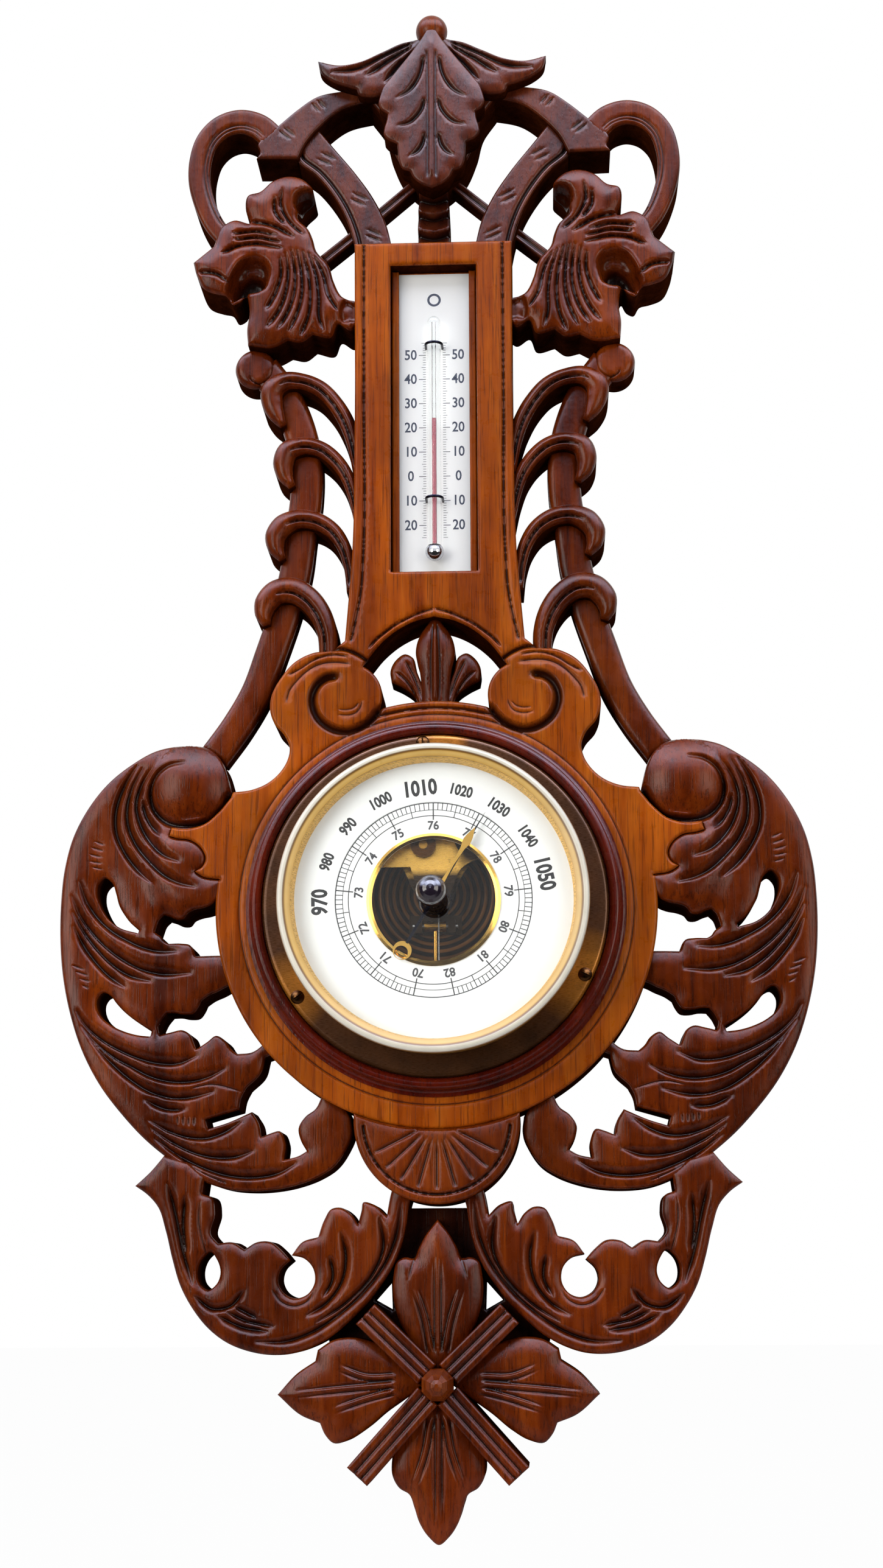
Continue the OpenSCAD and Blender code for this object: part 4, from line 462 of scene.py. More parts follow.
class Carving:
    """A flat-backed carved piece: an outline with holes, and what the chisel did to its face."""

    # Rings of points beside the outline, in widths of the rounded edge
    RIM_RINGS = (0.22, 0.6, 1.15, 2.1)
    # Least gap between guide points and from them to the outline, and the same for the grid, in pitches
    GUIDE_GAP, GUIDE_RIM, GRID_GAP, GRID_RIM = 0.3, 0.15, 0.62, 0.75
    # A cut this deep gets the darkest painted shade that depth alone gives
    DARK_CUT, DARKEST = 2.8, 0.6
    # How much of its reach a stroke keeps at its thin ends
    THIN_END = 0.45
    # The side wall is polished for this far below the face, but never closer to the back than that
    POLISHED_WALL, LEAST_FOOT = 1.2, 0.4
    # How much painted shade the side wall gets where it turns to sawn wood, and at its foot
    WALL_DARK, FOOT_DARK = 0.3, 0.6

    def __init__(self, outer, holes=(), face=24.0, back=0.0, edge=0.9, fall=0.0, fall_width=6.0, pitch=1.15):
        self.loops = [outer] + list(holes)
        self.face, self.back, self.edge = face, back, edge
        self.fall, self.fall_width, self.pitch = fall, fall_width, pitch
        self.cuts, self.ridges, self.mounds, self.areas, self.guides = [], [], [], [], []

    def groove(self, line, width, depth, taper=(0.25, 0.1), power=1.6, dark=0.6):
        """Sharp valley along a line: its reach to the left and right, and the half width of its dark line of
        painted shade.
        """
        line = path(line) if isinstance(line, list) else line
        width = width if isinstance(width, tuple) else (width, width)
        self.cuts.append((line, width, depth, taper, power, dark))

    def grooves(self, lines, *size, **how):
        for line in lines:
            self.groove(line, *size, **how)

    def ridge(self, line, width, height, taper=(0.2, 0.2)):
        """Rounded rib along a line."""
        self.ridges.append((path(line), width, height, taper))

    def mound(self, x, z, r, top):
        """Low dome that rises out of the face to depth top."""
        self.mounds.append((x, z, r, top))
        self.guides.append(circle(x, z, r))

    def area(self, loop, change, soft=1.5, dark=0.0):
        """Part of the face that lies lower or higher, with a soft edge; dark paints shade into it."""
        self.areas.append((loop, change, soft, dark))
        self.guides.append(loop)

    def depth(self, p, rim):
        """Face depth, and painted shade with dark polish from 0 to 1, at points that lie rim from the outline."""
        h = np.full(len(p), float(self.face))
        if self.fall:
            h -= self.fall * unit(1 - rim / self.fall_width) ** 2
        cut, shade_and_polish = np.zeros(len(p)), np.zeros(len(p))
        for loop, change, soft, dark in self.areas:
            d = nearest(p, loop, closed=True)[0]
            s = unit(0.5 + np.where(inside(p, [loop]), d, -d) / soft)
            s = s * s * (3 - 2 * s)
            h += change * s
            # Painted shade over sunk areas.
            shade_and_polish = np.maximum(shade_and_polish, dark * s)
        for line, width, height, taper in self.ridges:
            d, t = nearest(p, line)
            h += height * swell(t, taper, 0.02) * np.cos(unit(d / width) * math.pi / 2) ** 2
        for x, z, r, top in self.mounds:
            d = np.hypot(p[:, 0] - x, p[:, 1] - z)
            rise = top - self.face
            big = (r * r + rise * rise) / (2 * rise)
            dome = self.face + np.sqrt(np.maximum(big * big - d * d, 0)) - (big - rise)
            h = np.where(d < r, np.maximum(h, dome), h)
        for line, width, depth, taper, power, dark in self.cuts:
            d, t = nearest(p, line, signed=True)
            g = swell(t, taper, 0.03) ** 0.7
            reach = np.where(d > 0, width[0], width[1]) * (self.THIN_END + (1 - self.THIN_END) * g)
            d = np.abs(d)
            cut = np.maximum(cut, depth * g * unit(1 - d / reach) ** power)
            # A dark line of painted shade and old polish along each stroke.
            shade_and_polish = np.maximum(shade_and_polish, g * unit(1.5 - d / dark))
        h -= cut
        # Painted shade that deepens with the cut.
        shade_and_polish = np.maximum(shade_and_polish, self.DARKEST * unit(cut / self.DARK_CUT))
        h -= self.edge * (1 - np.sqrt(1 - (1 - unit(rim / self.edge)) ** 2))
        return h, unit(shade_and_polish)

    def rim(self, p):
        """Distance from each point to the outline or a hole."""
        return np.min([nearest(p, loop, closed=True)[0] for loop in self.loops], axis=0)

    def runs_inside(self, line):
        """Stretches of a line that lie well inside the outline."""
        run = []
        for q, keep in zip(line, inside(line, self.loops) & (self.rim(line) > 0.25)):
            if keep:
                run.append(q)
            else:
                yield run
                run = []
        yield run

    def guide_lines(self):
        """Lines of points that the mesh follows so that edges and strokes come out sharp."""
        for ring in self.RIM_RINGS:
            for loop in self.loops:
                n = sides(np.concatenate([loop[-1:], loop, loop[:1]]))[1:-1]
                for s in (1, -1):
                    yield loop + n * (ring * self.edge) * s
        for line, width, *_, dark in self.cuts:
            n = sides(line)
            for s, reach in ((1, width[0]), (-1, width[1])):
                for share, size in ((0.5, dark), (1.5, dark), (0.55, reach), (1, reach)):
                    yield line + n * s * share * size
        for line, width, *_ in self.ridges:
            n = sides(line)
            yield line
            for share in (0.45, 1):
                for s in (1, -1):
                    yield line + n * s * share * width
        for line in self.guides:
            n = sides(line)
            yield from (line, line + n * 0.5, line - n * 0.5)

    def points(self):
        """Points and fixed edges of the face's mesh."""
        pts, edges = [], []

        def fix(line, closed):
            base, m = len(pts), len(line)
            pts.extend(map(tuple, line))
            edges.extend((base + i, base + (i + 1) % m) for i in range(m if closed else m - 1))

        for loop in self.loops:
            fix(loop, True)
        for line, *_ in self.cuts:
            for run in self.runs_inside(line):
                if len(run) > 1:
                    fix(run, False)
        s = self.pitch
        lo, hi = self.loops[0].min(0), self.loops[0].max(0)
        gx, gz = np.meshgrid(np.arange(lo[0], hi[0] + s, s), np.arange(lo[1], hi[1] + s, s * 0.866))
        gx[1::2] += s / 2
        grid = np.stack([gx.ravel(), gz.ravel()], 1)
        guides = np.concatenate(list(self.guide_lines()))
        for group, gap, least_rim in ((guides, self.GUIDE_GAP, self.GUIDE_RIM),
                                      (grid, self.GRID_GAP * s, self.GRID_RIM * s)):
            group = group[inside(group, self.loops)]
            thin_out(group[self.rim(group) > least_rim], gap, pts)
        return pts, edges

    def mesh(self, name):
        """Carved face, side walls and flat back."""
        flat, tris, _ = delaunay(*self.points())
        tris = tris[inside(flat[tris].mean(1), self.loops)]
        area = doubled_area(*(flat[tris[:, i]] for i in range(3)))
        tris[area < 0] = tris[area < 0][:, ::-1]
        tris = tris[np.abs(area) > 1e-7]
        h, shade_and_polish = self.depth(flat, self.rim(flat))
        used = dict.fromkeys((t[i], t[(i + 1) % 3]) for t in tris for i in range(3))
        border = [e for e in used if e[::-1] not in used]
        ring = sorted({i for e in border for i in e})
        verts = [(x, -d, z) for (x, z), d in zip(flat, h)]
        shade_and_polish = list(shade_and_polish)
        faces = [tuple(t) for t in tris]

        def layer(depths, dark):
            """Repeats the border's points at other depths, and says which is which."""
            start = len(verts)
            verts.extend((flat[i][0], -d, flat[i][1]) for i, d in zip(ring, depths))
            shade_and_polish.extend([dark] * len(ring))
            return {i: start + n for n, i in enumerate(ring)}

        # The side walls take painted shade that deepens towards the back.
        low = layer([max(h[i] - self.POLISHED_WALL, self.back + self.LEAST_FOOT) for i in ring], self.WALL_DARK)
        foot = layer([self.back] * len(ring), self.FOOT_DARK)
        cap = layer([self.back] * len(ring), 0.0)
        for a, b in border:
            faces += [(b, a, low[a], low[b]), (low[b], low[a], foot[a], foot[b])]
        place = {i: n for n, i in enumerate(ring)}
        at, corners, given = delaunay([flat[i] for i in ring], [(place[a], place[b]) for a, b in border])
        for f in corners[inside(at[corners].mean(1), self.loops)]:
            if min(given[i] for i in f) >= 0:
                f = [ring[given[i]] for i in f]
                faces.append([cap[i] for i in (f[::-1] if doubled_area(*flat[f]) > 0 else f)])
        return build_mesh(name, verts, faces, shade_and_polish, front=len(tris))


def build_mesh(name, verts, faces, shade_and_polish=None, front=None):
    """Mesh in the shared frame from points given as (x, -depth, z) on the sheet, in millimetres.

    Faces after the first front ones are sawn, and take the second material.
    """
    v = np.array(verts, float)
    v[:, 2] -= HANG_Z
    m = bpy.data.meshes.new(name)
    m.from_pydata((v * MM).tolist(), [], [tuple(map(int, f)) for f in faces])
    m.update()
    # The attribute carries painted shade and dark polish, 0 to 1, to the wood material.
    if shade_and_polish is not None:
        a = m.attributes.new("shade_and_polish", "FLOAT", "POINT")
        a.data.foreach_set("value", np.asarray(shade_and_polish, np.float32))
    if front is not None:
        m.polygons.foreach_set("material_index", [0] * front + [1] * (len(faces) - front))
    m.shade_smooth()
    return m


def stand(name, mesh, material, slot, *nodes, body="case", sawn=None):
    """Object for a mesh, riding on a body and standing for the CAD nodes named."""
    o = bpy.data.objects.new(name, mesh)
    bpy.context.scene.collection.objects.link(o)
    mesh.materials.append(material)
    if sawn:
        mesh.materials.append(sawn)
    if nodes:
        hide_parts(*nodes)
    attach(o, body)


def mirrored(mesh, name):
    """Copy of a mesh reflected across the middle plane."""
    m = mesh.copy()
    m.name = name
    co = np.empty(len(m.vertices) * 3)
    m.vertices.foreach_get("co", co)
    co[0::3] *= -1
    m.vertices.foreach_set("co", co)
    m.flip_normals()
    m.update()
    return m


def with_mirror(mesh):
    return [mesh, mirrored(mesh, mesh.name + "_left")]


def join(meshes, name):
    """One mesh from several."""
    bm = bmesh.new()
    for m in meshes:
        bm.from_mesh(m)
    out = bpy.data.meshes.new(name)
    bm.to_mesh(out)
    bm.free()
    for m in meshes:
        bpy.data.meshes.remove(m)
    return out


# Materials

def srgb(r, g, b):
    """Linear colour from the 0-255 values that the eye reads."""
    shares = (c / 255 for c in (r, g, b))
    return tuple(((c + 0.055) / 1.055) ** 2.4 if c > 0.0404 else c / 12.92 for c in shares) + (1.0,)


class Nodes:
    """Short hand for building a node tree."""

    def __init__(self, tree):
        self.tree = tree

    def put(self, value, socket):
        """Links another node's output to a socket, or sets a constant on it."""
        if isinstance(value, bpy.types.NodeSocket):
            self.tree.links.new(value, socket)
        else:
            socket.default_value = value

    def add(self, kind, inputs=(), **settings):
        """New node. Its inputs are given as (name or number, value)."""
        n = self.tree.nodes.new("ShaderNode" + kind)
        for key, value in settings.items():
            setattr(n, key, value)
        for key, value in inputs:
            self.put(value, n.inputs[key])
        return n

    def coordinate(self, kind, axis):
        """One axis of a texture coordinate."""
        source = self.add("TexCoord").outputs[kind]
        return self.add("SeparateXYZ", [(0, source)]).outputs[axis]

    def place(self, scale=(1, 1, 1), shift=(0, 0, 0)):
        """Object coordinates, stretched and shifted."""
        source = self.add("TexCoord").outputs["Object"]
        mapping = self.add("Mapping", [("Vector", source), ("Scale", scale), ("Location", shift)])
        return mapping.outputs["Vector"]

    def radius(self, x, z):
        """Distance in millimetres from the axis at x, z on the sheet."""
        flat = self.place((1 / MM, 0, 1 / MM), (-x, 0, HANG_Z - z))
        return self.add("VectorMath", [(0, flat)], operation="LENGTH").outputs["Value"]

    def up(self, low, high):
        """0 below a height on the sheet and 1 above another."""
        ends = [("From Min", (low - HANG_Z) * MM), ("From Max", (high - HANG_Z) * MM)]
        return self.add("MapRange", [("Value", self.coordinate("Object", 2))] + ends).outputs["Result"]

    def noise(self, vector, scale, detail=3, roughness=0.55, distortion=0.0):
        return self.add("TexNoise", [("Vector", vector), ("Scale", scale), ("Detail", detail),
                                     ("Roughness", roughness), ("Distortion", distortion)]).outputs["Fac"]

    def ramp(self, fac, *stops):
        """Colours or greys at positions from 0 to 1."""
        r = self.add("ValToRGB", [("Fac", fac)])
        e = r.color_ramp.elements
        while len(e) < len(stops):
            e.new(0.5)
        for element, (at, colour) in zip(e, stops):
            element.position = at
            element.color = colour if isinstance(colour, tuple) else (colour, colour, colour, 1)
        return r.outputs["Color"]

    def mottle(self, vector, scale, low, high, detail=3, span=(0.3, 0.7)):
        """Noise spread from one value to another."""
        return self.ramp(self.noise(vector, scale, detail), (span[0], low), (span[1], high))

    def mix(self, fac, a, b, blend="MIX"):
        return self.add("Mix", [(0, fac), (6, a), (7, b)], data_type="RGBA", blend_type=blend).outputs[2]

    def math(self, op, a, b=0.0, clamp=False):
        return self.add("Math", [(0, a), (1, b)], operation=op, use_clamp=clamp).outputs[0]

    def times(self, a, b, clamp=False):
        return self.math("MULTIPLY", a, b, clamp)

    def one_minus(self, a):
        return self.math("SUBTRACT", 1.0, a)

    def blend_shaders(self, fac, a, b):
        return self.add("MixShader", [(0, fac), (1, a), (2, b)]).outputs[0]


class Material(Nodes):
    """A material built round its principled shader."""

    def __init__(self, name):
        self.mat = bpy.data.materials.new(name)
        self.mat.use_nodes = True
        super().__init__(self.mat.node_tree)
        self.shader = self.tree.nodes["Principled BSDF"]

    def bump(self, height, strength, distance):
        b = self.add("Bump", [("Height", height), ("Strength", strength), ("Distance", distance)])
        self.put(b.outputs["Normal"], self.shader.inputs["Normal"])

    def show(self, shader):
        """Shows a shader in place of the principled one."""
        self.put(shader, self.tree.nodes["Material Output"].inputs["Surface"])

    def finish(self, colour, rough, **constants):
        """Gives the shader its colour, roughness and other values."""
        self.put(colour, self.shader.inputs["Base Color"])
        self.put(rough, self.shader.inputs["Roughness"])
        for key, value in constants.items():
            self.put(value, self.shader.inputs[key.replace("_", " ")])
        return self.mat


# How strongly the uneven stain, the pores, and the painted shade and dark polish in the cuts show on wood
STAIN, PORES, CUT_SHADE = 0.7, 0.45, 0.95


def walnut(name, dark, mid, light, shade_and_polish, gloss, shine, grain=(1, 1, 0.07)):
    """French-polished walnut: long grain, pores, uneven stain, and painted shade with dark polish in the hollows.
    """
    n = Material(name)
    plain, along = n.place(), n.place(grain)
    fine = n.place((grain[0], grain[1], grain[2] * 0.45))
    bands = n.noise(along, 240, detail=6, roughness=0.62, distortion=0.5)
    wide = n.noise(along, 55, roughness=0.5, distortion=0.9)
    tone = n.math("ADD", n.times(bands, 0.5), n.times(wide, 0.5))
    colour = n.ramp(tone, (0.34, srgb(*dark)), (0.5, srgb(*mid)), (0.65, srgb(*light)))
    for scale, low in ((30, 0.66), (9, 0.55)):
        stain = n.mottle(plain, scale, low, 1.0, detail=4, span=(0.36, 0.58))
        colour = n.mix(STAIN, colour, stain, "MULTIPLY")
    pores = n.ramp(n.noise(fine, 1400, detail=2, roughness=0.6), (0.36, 0.0), (0.46, 1.0))
    colour = n.mix(n.times(n.one_minus(pores), PORES), colour, srgb(*shade_and_polish))
    # Painted shade and dark polish where the mesh's attribute says so: in cuts, recesses and down the side walls.
    cut = n.add("Attribute", attribute_name="shade_and_polish").outputs["Fac"]
    colour = n.mix(n.times(cut, CUT_SHADE, clamp=True), colour, srgb(*shade_and_polish))
    dents = n.noise(plain, 420)
    n.bump(n.math("ADD", n.times(pores, 0.35), n.times(dents, 0.9)), strength=0.3, distance=0.00022)
    rough = n.mottle(plain, 180, gloss * 0.85, gloss * 1.2, detail=4, span=(0.35, 0.65))
    return n.finish(colour, rough, Specular_IOR_Level=shine)


def metal(name, colour, rough, worn=(0.85, 1.0), scratch=0.12, spots=0.0, spot_colour=(60, 40, 20),
          metallic=1.0, below=None, glow=None, patches=()):
    """Metal with faint brushing, uneven lacquer and a few tarnish spots.

    With below, (height, height, colour), the colour changes to another one lower down, as painted shade.
    Soft patches at (x, z, radius) have the colour glow; bright patches are painted reflections.
    """
    n = Material(name)
    plain, fine = n.place(), n.place((1, 1, 12))
    tone = srgb(*colour)
    if below:
        tone = n.mix(n.up(below[0], below[1]), srgb(*below[2]), tone)
    for x, z, reach in patches:
        near = n.math("DIVIDE", n.radius(x, z), reach)
        blurred = n.math("ADD", near, n.times(n.noise(plain, 40), 0.4))
        tone = n.mix(n.ramp(blurred, (0.55, 1.0), (1.0, 0.0)), tone, srgb(*glow))
    lacquer = n.mottle(plain, 90, *worn, detail=4, span=(0.3, 0.65))
    tone = n.mix(1.0, tone, lacquer, "MULTIPLY")
    if spots:
        tarnish = n.ramp(n.noise(plain, 420, detail=5, roughness=0.7), (0.6, 0.0), (0.72, 1.0))
        tone = n.mix(n.times(tarnish, spots), tone, srgb(*spot_colour))
    n.bump(n.noise(fine, 700), strength=0.05, distance=0.0001)
    return n.finish(tone, n.mottle(fine, 500, max(rough - scratch, 0.04), rough + scratch), Metallic=metallic)


def ringed(name, centre, bands, wall):
    """Lacquered ring whose colour changes with the distance from an axis: bands are (radius, colour).

    wall is (radius, colour) for faces beyond that radius that look away from the axis.
    """
    n = Material(name)
    full = 80.0
    reach = n.times(n.radius(*centre), 1 / full)
    tone = n.ramp(reach, *((r / full, srgb(*colour)) for r, colour in bands))
    outside = n.ramp(reach, (wall[0] / full, 0.0), ((wall[0] + 0.3) / full, 1.0))
    to_front = n.math("ABSOLUTE", n.coordinate("Normal", 1))
    sideways = n.ramp(to_front, (0.25, 1.0), (0.55, 0.0))
    tone = n.mix(n.times(outside, sideways), tone, srgb(*wall[1]))
    worn = n.mottle(n.place(), 110, 0.9, 1.0, detail=4, span=(0.3, 0.65))
    return n.finish(n.mix(1.0, tone, worn, "MULTIPLY"), n.mottle(n.place(), 300, 0.27, 0.33))


def rippled(name, centre, pitch, crest, valley):
    """Stamped sheet metal with painted highlights on its rings and painted shade between them."""
    n = Material(name)
    phase = n.times(n.radius(*centre), 2 * math.pi / pitch)
    wave = n.math("ADD", n.times(n.math("COSINE", phase), 0.5), 0.5)
    tone = n.ramp(wave, (0.35, srgb(*valley)), (0.8, srgb(*crest)))
    tone = n.mix(1.0, tone, n.mottle(n.place(), 70, 0.6, 1.0, detail=4), "MULTIPLY")
    return n.finish(tone, n.mottle(n.place(), 500, 0.288, 0.432), Metallic=0.25)


def spirit(name, colour, bulb, top):
    """Coloured spirit in a thermometer, and a silvered bulb below height top."""
    n = Material(name)
    high = n.up(top - 0.3, top + 0.3)
    tone = n.mix(high, srgb(*bulb), srgb(*colour))
    tone = n.mix(1.0, tone, n.mottle(n.place(), 300, 0.85, 1.0), "MULTIPLY")
    rough = n.math("ADD", n.times(high, 0.35), 0.12)
    return n.finish(tone, rough, Metallic=n.one_minus(high))


def enamel(name, colour, rough=0.35, stain=0.06, stain_colour=(206, 200, 180), coat=0.3):
    """Painted or opal face, faintly mottled."""
    n = Material(name)
    plain = n.place()
    stained = n.times(n.mottle(plain, 60, 0.0, 1.0, detail=5, span=(0.35, 0.75)), stain)
    n.bump(n.noise(plain, 900, detail=2), strength=0.03, distance=0.0001)
    return n.finish(n.mix(stained, srgb(*colour), srgb(*stain_colour)),
                    n.mottle(plain, 300, rough * 0.85, rough * 1.2), Coat_Weight=coat, Coat_Roughness=0.1)


def clear_glass(name):
    """Clear glass that lets lamps through, with faint smears."""
    n = Material(name)
    smear = n.ramp(n.noise(n.place(), 45, detail=5, distortion=1.2), (0.45, 0.0), (0.8, 0.05))
    n.finish(srgb(250, 252, 252), smear, Transmission_Weight=1.0, IOR=1.45)
    shadow = n.add("LightPath").outputs["Is Shadow Ray"]
    through = n.add("BsdfTransparent", [("Color", (0.96, 0.97, 0.97, 1))])
    n.show(n.blend_shaders(shadow, n.shader.outputs[0], through.outputs[0]))
    return n.mat


def ink(name, colour):
    """Printing ink, slightly uneven."""
    n = Material(name)
    wear = n.mottle(n.place(), 1200, 1.25, 0.8, span=(0.25, 0.7))
    return n.finish(n.mix(1.0, srgb(*colour), wear, "MULTIPLY"), 0.5)


# Woods: dark, mid and light grain
POLISHED = (138, 54, 5), (188, 88, 12), (212, 112, 26)
CARVED = (68, 18, 1), (114, 42, 5), (144, 62, 12)
CREST_WOOD = (58, 18, 6), (96, 38, 16), (120, 56, 28)
RED_WOOD = (70, 12, 3), (104, 22, 5), (124, 36, 8)
FAN_WOOD = (98, 34, 5), (136, 56, 10), (160, 76, 20)
SAWN = (54, 20, 6), (82, 34, 12), (104, 48, 20)
SHADE_AND_OLD_POLISH = (14, 3, 1)      # painted shade and old polish in the cuts

WOOD = {
    "polished": walnut("polished_walnut", *POLISHED, shade_and_polish=(34, 8, 3), gloss=0.3, shine=0.16),
    "carved": walnut("carved_walnut", *CARVED, shade_and_polish=SHADE_AND_OLD_POLISH, gloss=0.27, shine=0.2),
    "crest": walnut("crest_walnut", *CREST_WOOD, shade_and_polish=SHADE_AND_OLD_POLISH, gloss=0.3, shine=0.3, grain=(1, 1, 0.4)),
    "red": walnut("red_walnut", *RED_WOOD, shade_and_polish=SHADE_AND_OLD_POLISH, gloss=0.26, shine=0.3),
    "fan": walnut("fan_walnut", *FAN_WOOD, shade_and_polish=SHADE_AND_OLD_POLISH, gloss=0.3, shine=0.2),
    "sawn": walnut("sawn_walnut", *SAWN, shade_and_polish=(10, 3, 1), gloss=0.7, shine=0.0)}

BLACK_SPOT = (24, 14, 8)
GOLD_WALL = (168, 118, 50)
# Ring colours by radius: the cream bands are painted highlights and the brown ones painted shade on the polished
# brass.
RING_HIGHLIGHT_BANDS = (
    (58.4, (196, 140, 50)), (58.9, (238, 192, 104)), (60.2, (246, 208, 128)), (60.7, (238, 190, 100)),
    (61.1, (120, 78, 26)), (61.5, (132, 88, 30)), (61.9, (255, 250, 232)), (63.8, (255, 252, 240)),
    (64.2, GOLD_WALL))
BULB_TOP = 155.4         # height of the top of the thermometer's bulb


def dress():
    """A finish for every CAD node that is shown as it is."""
    finish = {
        "brass": metal("brass", (190, 142, 66), 0.28, worn=(0.75, 1.0), spots=0.5),
        "dark_brass": metal("dark_brass", (92, 60, 32), 0.3, worn=(0.6, 1.0), spots=0.6, spot_colour=BLACK_SPOT),
        "gilt": metal("gilt", (226, 178, 88), 0.16, scratch=0.06),
        "bronze": metal("bronze", (140, 88, 44), 0.32, worn=(0.6, 1.0), spots=0.5),
        "steel": metal("steel", (150, 148, 146), 0.28, worn=(0.8, 1.0), spots=0.3, spot_colour=(80, 62, 44)),
        "blued_steel": metal("blued_steel", (34, 34, 46), 0.24, worn=(0.7, 1.0)),
        "dial_white": enamel("dial_white", (246, 248, 250)),
        "opal_glass": enamel("opal_glass", (250, 253, 255), rough=0.4, coat=0.0, stain_colour=(232, 238, 242)),
        "clear_glass": clear_glass("clear_glass"),
        "red_liquid": enamel("red_liquid", (206, 104, 124), rough=0.4, stain=0.1, stain_colour=(170, 60, 80),
                             coat=0.0),
        "horn_black": enamel("horn_black", (42, 34, 48), rough=0.18, stain=0.4, stain_colour=(20, 16, 22),
                             coat=0.8),
        "polished_walnut": WOOD["polished"],
        "carved_walnut": WOOD["carved"]}
    special = {
        "turned_moulding": WOOD["red"],
        "main_spring": metal("spring_steel", (46, 34, 24), 0.4, worn=(0.6, 1.0), spots=0.6,
                             spot_colour=(30, 18, 10)),
        "capsule": rippled("capsule_bronze", (0, DIAL_Z + 6), 3.0, (158, 104, 52), (36, 16, 8)),
        # The bridge is painted dark below its upper edge, as shade towards the dial's centre, and darker in a round
        # patch.
        "bridge": metal("bridge_gilt", (236, 184, 88), 0.3, worn=(0.7, 1.0), spots=0.6, metallic=0.8,
                        below=(DIAL_Z + 11, DIAL_Z + 14, (52, 36, 22)), glow=(46, 28, 16),
                        patches=((16, 18, 11),)),
        "glass_ring": ringed("ring_brass", (0, DIAL_Z), RING_HIGHLIGHT_BANDS, wall=(62.2, GOLD_WALL)),
        "reflector_ring": metal("reflector_gilt", (224, 178, 92), 0.3, worn=(0.9, 1.0), metallic=0.6),
        # The flange's bright patches are painted reflections of the wooden board and a painted highlight at its
        # top.
        "flange": metal("flange_bronze", (94, 58, 30), 0.3, worn=(0.55, 1.0), spots=0.5,
                        spot_colour=BLACK_SPOT, metallic=0.4, glow=(206, 132, 44),
                        patches=((-60, -40, 22), (60, -36, 26), (4, 66, 14))),
        "thermometer_liquid": spirit("spirit_and_bulb", (206, 100, 122), (214, 214, 220), BULB_TOP)}
    wanted = {s["node"]: s["material_slot"] for s in frame["record"]["subparts"]}
    for node, o in NODES.items():
        for slot in o.material_slots:
            slot.link = "OBJECT"
            slot.material = special.get(node, finish[wanted[node]])


# Wooden pieces

def centre_board():
    """Column, shoulders, ears and round board in one plank, with the thermometer's recess."""
    dial = (0, DIAL_Z)
    ear = path(EAR)
    rim = arc(*dial, BOARD_R, angle_of(dial, ear[-1]), -90)
    outline = closed_by_mirror(path(COLUMN), ear, rim[1:])
    # The arched opening between the volutes and the round board
    eye = (37, 87.5)
    foot = min((crossing(eye, VOLUTE_R, dial, RIM_R, u) for u in (True, False)), key=lambda q: q[0])
    volute = arc(*eye, VOLUTE_R, 115, angle_of(eye, foot) % 360)
    opening = closed_by_mirror(path(ARCH), volute, arc(*dial, RIM_R, angle_of(dial, foot), 90)[1:])
    w, low, high = 18.8, 142.3, 281.5      # the recess: half width, foot and top
    holes = [opening, box(-w, low, w, high), circle(*dial, CAN_HOLE)]
    c = Carving(outline, holes, face=FACE, edge=1.2, pitch=1.6)
    for s in (1, -1):
        flipped = np.array([s, 1])
        for knots, reach, depth, dark in VOLUTE_STROKES:
            c.groove(path(knots) * flipped, reach[::s], depth, taper=(0.05, 0.05), dark=dark)
        c.groove(path(COLUMN_LINE) * flipped, (1.1, 1.5), 1.6, taper=(0.01, 0.03))
        c.groove(path(ARCH_LINE) * flipped, (1.2, 1.2), 1.6, taper=(0.05, 0.1))
    c.groove(arc(*dial, 83, 0, 360), 1.0, 0.8, taper=(0.001, 0.001), dark=0.35)
    c.groove(arc(*dial, 86, 68, 112), (1.6, 0.8), 1.3, taper=(0.1, 0.1))
    parts = [c.mesh("board_face"), slab(box(-w - 1, low - 1, w + 1, high + 1), 0, RECESS_FLOOR, "recess_floor")]
    for a, b in ((-w + 0.3, -15.4), (15.4, w - 0.3)):
        parts.append(slab(box(a, low + 0.4, b, high - 0.4), RECESS_FLOOR, 21.4, "strip"))
    return parts


def slab(outline, back, face, name):
    """Plain plate between two depths."""
    return Carving(outline, face=face, back=back, edge=0.4, pitch=3.0).mesh(name)


def wing():
    """Side scroll of leaves with a ball at its top."""
    c = Carving(curve(WING), [curve(h) for h in WING_HOLES], face=LEAF, edge=1.0, fall=1.4, fall_width=7)
    c.area(curve(LOBE), FACE - LEAF, soft=14)
    c.mound(105.5, 50.5, 17.2, 29.6)
    c.groove(CRESCENT, (2.2, 2.2), 3.6, taper=(0.35, 0.03), power=1.1, dark=1.1)
    c.grooves(WING_STROKES, (1.7, 4.2), 3.0, taper=(0.25, 0.2), power=1.3, dark=0.75)
    c.grooves(WING_TICKS, 0.8, 0.6, dark=0.25)
    c.grooves(WING_EDGES, 1.0, 0.8, dark=0.3)
    return [c.mesh("wing")]


